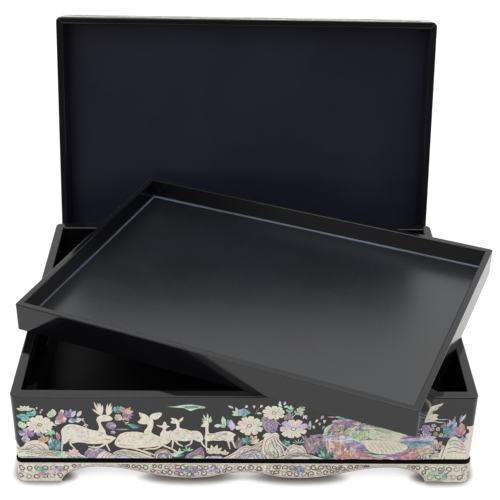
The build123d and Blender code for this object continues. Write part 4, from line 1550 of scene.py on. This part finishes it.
# %% Right, back and left sides
def landscape(side, seed, clusters, build_animals):
    face = walls[side]
    half = face.length / 2
    ground = Inlay(f"{side}_banks", face)
    banks_along(ground, -half - 4, half - 2, 0.8, 13, seed)
    ground.build("box")
    plants = Inlay(f"{side}_flowers", face)
    for k, (x, y, size) in enumerate(clusters):
        cluster(plants, (x, y), size, seed + 20 + 7 * k)
    dice = random.Random(seed + 1)
    for k in range(round(face.length / 16)):
        tuft(plants, (dice.uniform(-half + 6, half - 6), dice.uniform(2, 9)), dice.uniform(5, 8),
             pick("teal mint violet gold", dice) + " mint", layer=16, seed=seed + 60 + k)
    plants.build("box")
    animals = Inlay(f"{side}_animals", face)
    build_animals(animals)
    animals.build("box")


def right_animals(inlay):
    deer(inlay, (38, 1), stag_body, stag_legs, antlers=stag_antlers, mirror=True, seed=301)
    deer(inlay, (-4, 1), doe_body, doe_legs, ears=doe_ears, seed=302)
    cloud(inlay, (8, 53), 1.0, seed=303)
    cloud(inlay, (-66, 54), 0.8, "pearl violet", seed=304, mirror=True)


def back_animals(inlay):
    crane(inlay, (-88, 36), 0.95, seed=311)
    crane(inlay, (96, 40), 0.85, mirror=True, seed=312)
    deer(inlay, (4, 1), stag_body, stag_legs, antlers=stag_antlers, seed=313)
    deer(inlay, (48, 1), fawn_body, fawn_legs, ears=fawn_ears, seed=314)
    cloud(inlay, (40, 52), 1.1, seed=315)
    cloud(inlay, (-40, 53), 0.9, "pearl teal", seed=316, mirror=True)


def left_animals(inlay):
    crane(inlay, (30, 38), 0.9, mirror=True, seed=321)
    deer(inlay, (-28, 1), fawn_body, fawn_legs, ears=fawn_ears, mirror=True, seed=322)
    deer(inlay, (-58, 0), fawn_body, fawn_legs, ears=fawn_ears[:1], mirror=True, size=0.9, seed=323)
    cloud(inlay, (-30, 53), 1.0, seed=324)


landscape("right", 330, [(-98, 32, 11), (-72, 26, 9), (-46, 38, 8), (82, 34, 11), (106, 26, 9)],
          right_animals)
landscape("back", 340, [(-152, 32, 11.5), (-126, 24, 8.5), (-44, 30, 11), (-20, 42, 7.5), (78, 24, 9),
          (136, 30, 11.5), (160, 24, 8.5)], back_animals)
landscape("left", 350, [(-104, 30, 10.5), (-2, 26, 9), (66, 30, 11), (94, 36, 9), (114, 22, 8)],
          left_animals)

# %% [markdown]
# The lid leans back, so its faces need directions of their own: along its width, up its leaning
# face and out of its hollow side. Its outer face has the largest picture, a landscape of hills,
# water, a sun, pines, bamboo, cranes and deer inside a ruled border, and its four edges have a vine.

# %% Lid: its faces
lid_lean, lid_turn = radians(16.2), radians(-1.05)
lid_backward = Vector((-sin(lid_turn), cos(lid_turn), 0))
lid_side = Vector((cos(lid_turn), sin(lid_turn), 0))
lid_up = lid_backward * sin(lid_lean) + Z * cos(lid_lean)
lid_out = Z * sin(lid_lean) - lid_backward * cos(lid_lean)
lid_boards = [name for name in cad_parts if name.startswith("lid_")]
lid_top = block_face(lid_boards, -lid_out, lid_up, wall_radius)
lid_edges = {name: block_face(lid_boards, out, -lid_out, wall_radius)
             for name, out in (("lower", -lid_up), ("right", lid_side), ("upper", lid_up),
             ("left", -lid_side))}
lid_depth = (span(lid_boards, lid_up)[1] - span(lid_boards, lid_up)[0]) / MM
lid_tall = (span(lid_boards, lid_out)[1] - span(lid_boards, lid_out)[0]) / MM
print("lid in mm:", round(lid_top.length, 1), round(lid_depth, 1), round(lid_tall, 1))

# %% [markdown]
# The lid's picture is built from the far distance forwards: hills and the sun, water, banks, trees
# and flowers, and last the deer, the cranes and the clouds. A border of scrolls between two ruled
# lines frames it. A ruled line needs no saw: a strip of shell is bent along it.

# %% Lid: the picture on its outer face
def frame_lines(inlay, half, low, high, gaps, width, tint):
    """Ruled borders, each a ring of four bands let in from the edge by its gap."""
    for gap in gaps:
        x, y1, y2 = half - gap, low + gap, high - gap
        for start, end in (((-x, y1), (x, y1)), ((x, y1), (x, y2)), ((x, y2), (-x, y2)),
            ((-x, y2), (-x, y1))):
            inlay.line([start, end], width, 0, tint=tint)


def lid_picture():
    half, low, high = lid_top.length / 2, 0.0, lid_depth
    border = Inlay("lid_border", lid_top)
    frame_lines(border, half, low, high, (5, 17), 0.9, "cream")
    dice = random.Random(401)
    ring = [(x, y, turn) for y, turn in ((low + 11, 0), (high - 11, 180)) for x in range(-160, 161, 8)]
    ring += [(x, y, turn) for x, turn in ((-half + 11, 270), (half - 11, 90)) for y in range(22, 240, 8)]
    for k, (x, y, turn) in enumerate(ring):
        if k % 5 == 2:
            blossom(border, (x, y), 3.8, pick("rose violet teal cream", dice), petals=6, layer=2,
                    eye="gold", seed=402 + k)
            continue
        curl = spiral(3.2, turns=1.3, start=turn + 90 * (k % 2), hand=1 if k % 2 else -1)
        border.line(turned(curl, (x, y)), 0.6, 1, tint=pick("cream gold pearl mint", dice), taper=True)
        border.cut(turned(leaf(4, 1.8, 0.4), (x, y), turn + 45 + 90 * (k % 3)),
            pick("mint rose teal", dice), 1)
    border.build("lid")

    hills = Inlay("lid_hills", lid_top)
    for k, (x, width, height) in enumerate(((-112, 90, 70), (-50, 110, 96), (30, 90, 74), (104, 100, 88))):
        rock(hills, (x, 92), width, height, "pearl lilac blue sage pearl", rings=5, layer=10 * (k % 2),
            seed=420 + k)
    water(hills, -150, 150, 62, 7, layer=20, seed=430)
    banks_along(hills, -158, 132, 19, 26, 440)
    hills.cut(turned(disc(13, 30), (112, 214)), "rose", 2)
    hills.cut(turned(disc(11.6, 30), (112, 214)), "gold", 3)
    hills.build("lid")

    grove = Inlay("lid_trees", lid_top)
    pine(grove, "-132,30 -126,62 -138,96 -122,130 -112,168", 22, layer=56, seed=451, limbs=6)
    pine(grove, "140,30 132,58 142,84 130,112", 15, layer=56, seed=452, limbs=4)
    bamboo(grove, (86, 36), 70, layer=56, seed=453, canes=4)
    places = (-84, 44, 12), (-58, 34, 10), (58, 40, 12), (112, 40, 11), (-104, 30, 9)
    for k, (x, y, size) in enumerate(places):
        cluster(grove, (x, y), size, 460 + 9 * k, layer=60)
    grove.build("lid")

    animals = Inlay("lid_animals", lid_top)
    deer(animals, (-22, 40), stag_body, stag_legs, antlers=stag_antlers, seed=471, layer=60)
    deer(animals, (24, 36), doe_body, doe_legs, ears=doe_ears, seed=472, layer=60)
    flights = (-40, 208, 1.1, False), (20, 184, 0.9, True), (70, 200, 0.8, False), (-66, 172, 0.8, False)
    for k, (x, y, size, mirror) in enumerate(flights):
        crane(animals, (x, y), size, mirror, layer=30, seed=480 + k)
    drifts = (-130, 220, 1.6), (0, 224, 1.5), (120, 184, 1.4), (60, 228, 1.1), (-80, 228, 1.2)
    for k, (x, y, size) in enumerate(drifts):
        cloud(animals, (x, y), size, "mint pearl violet", layer=26, seed=490 + k, mirror=bool(k % 2))
    animals.build("lid")


lid_picture()

# %% [markdown]
# One vine winds along each edge of the lid between two pale lines. It rises and falls like a slow
# wave, with a large pale blossom or a smaller bright one in turn, and pairs of leaf fans between.

# %% Lid: a vine round its edges
def vine(name, seed):
    face = lid_edges[name]
    half = face.length / 2
    inlay = Inlay(f"lid_{name}_vine", face)
    dice = random.Random(seed)
    frame_lines(inlay, half - 1, 0, lid_tall, (3.4,), 0.6, "cream")
    stem = [(x, lid_tall / 2 + 5 * sin(x / 14)) for x in range(round(-half + 8), round(half - 7), 7)]
    inlay.line(smooth(stem, closed=False), 0.7, 0, tint="gold")
    for k, (x, y) in enumerate(stem[1:-1]):
        if k % 4 == 1:
            blossom(inlay, (x, y), 7.2, "cream pearl cream", petals=9, layer=4, eye="gold", seed=seed + k)
        elif k % 4 == 3:
            blossom(inlay, (x, y), 5, pick("rose violet teal", dice) + " rose", petals=7, layer=3,
                    eye="cream", seed=seed + k)
        else:
            for swing in (70, -70):
                fan(inlay, (x, y), [6, 7.4, 6], 2.6, swing - 26, swing + 26, "mint teal mint gold", layer=1,
                    seed=seed + k, rib=0.2)
    inlay.build("lid")


for k, name in enumerate(lid_edges):
    vine(name, 500 + 30 * k)
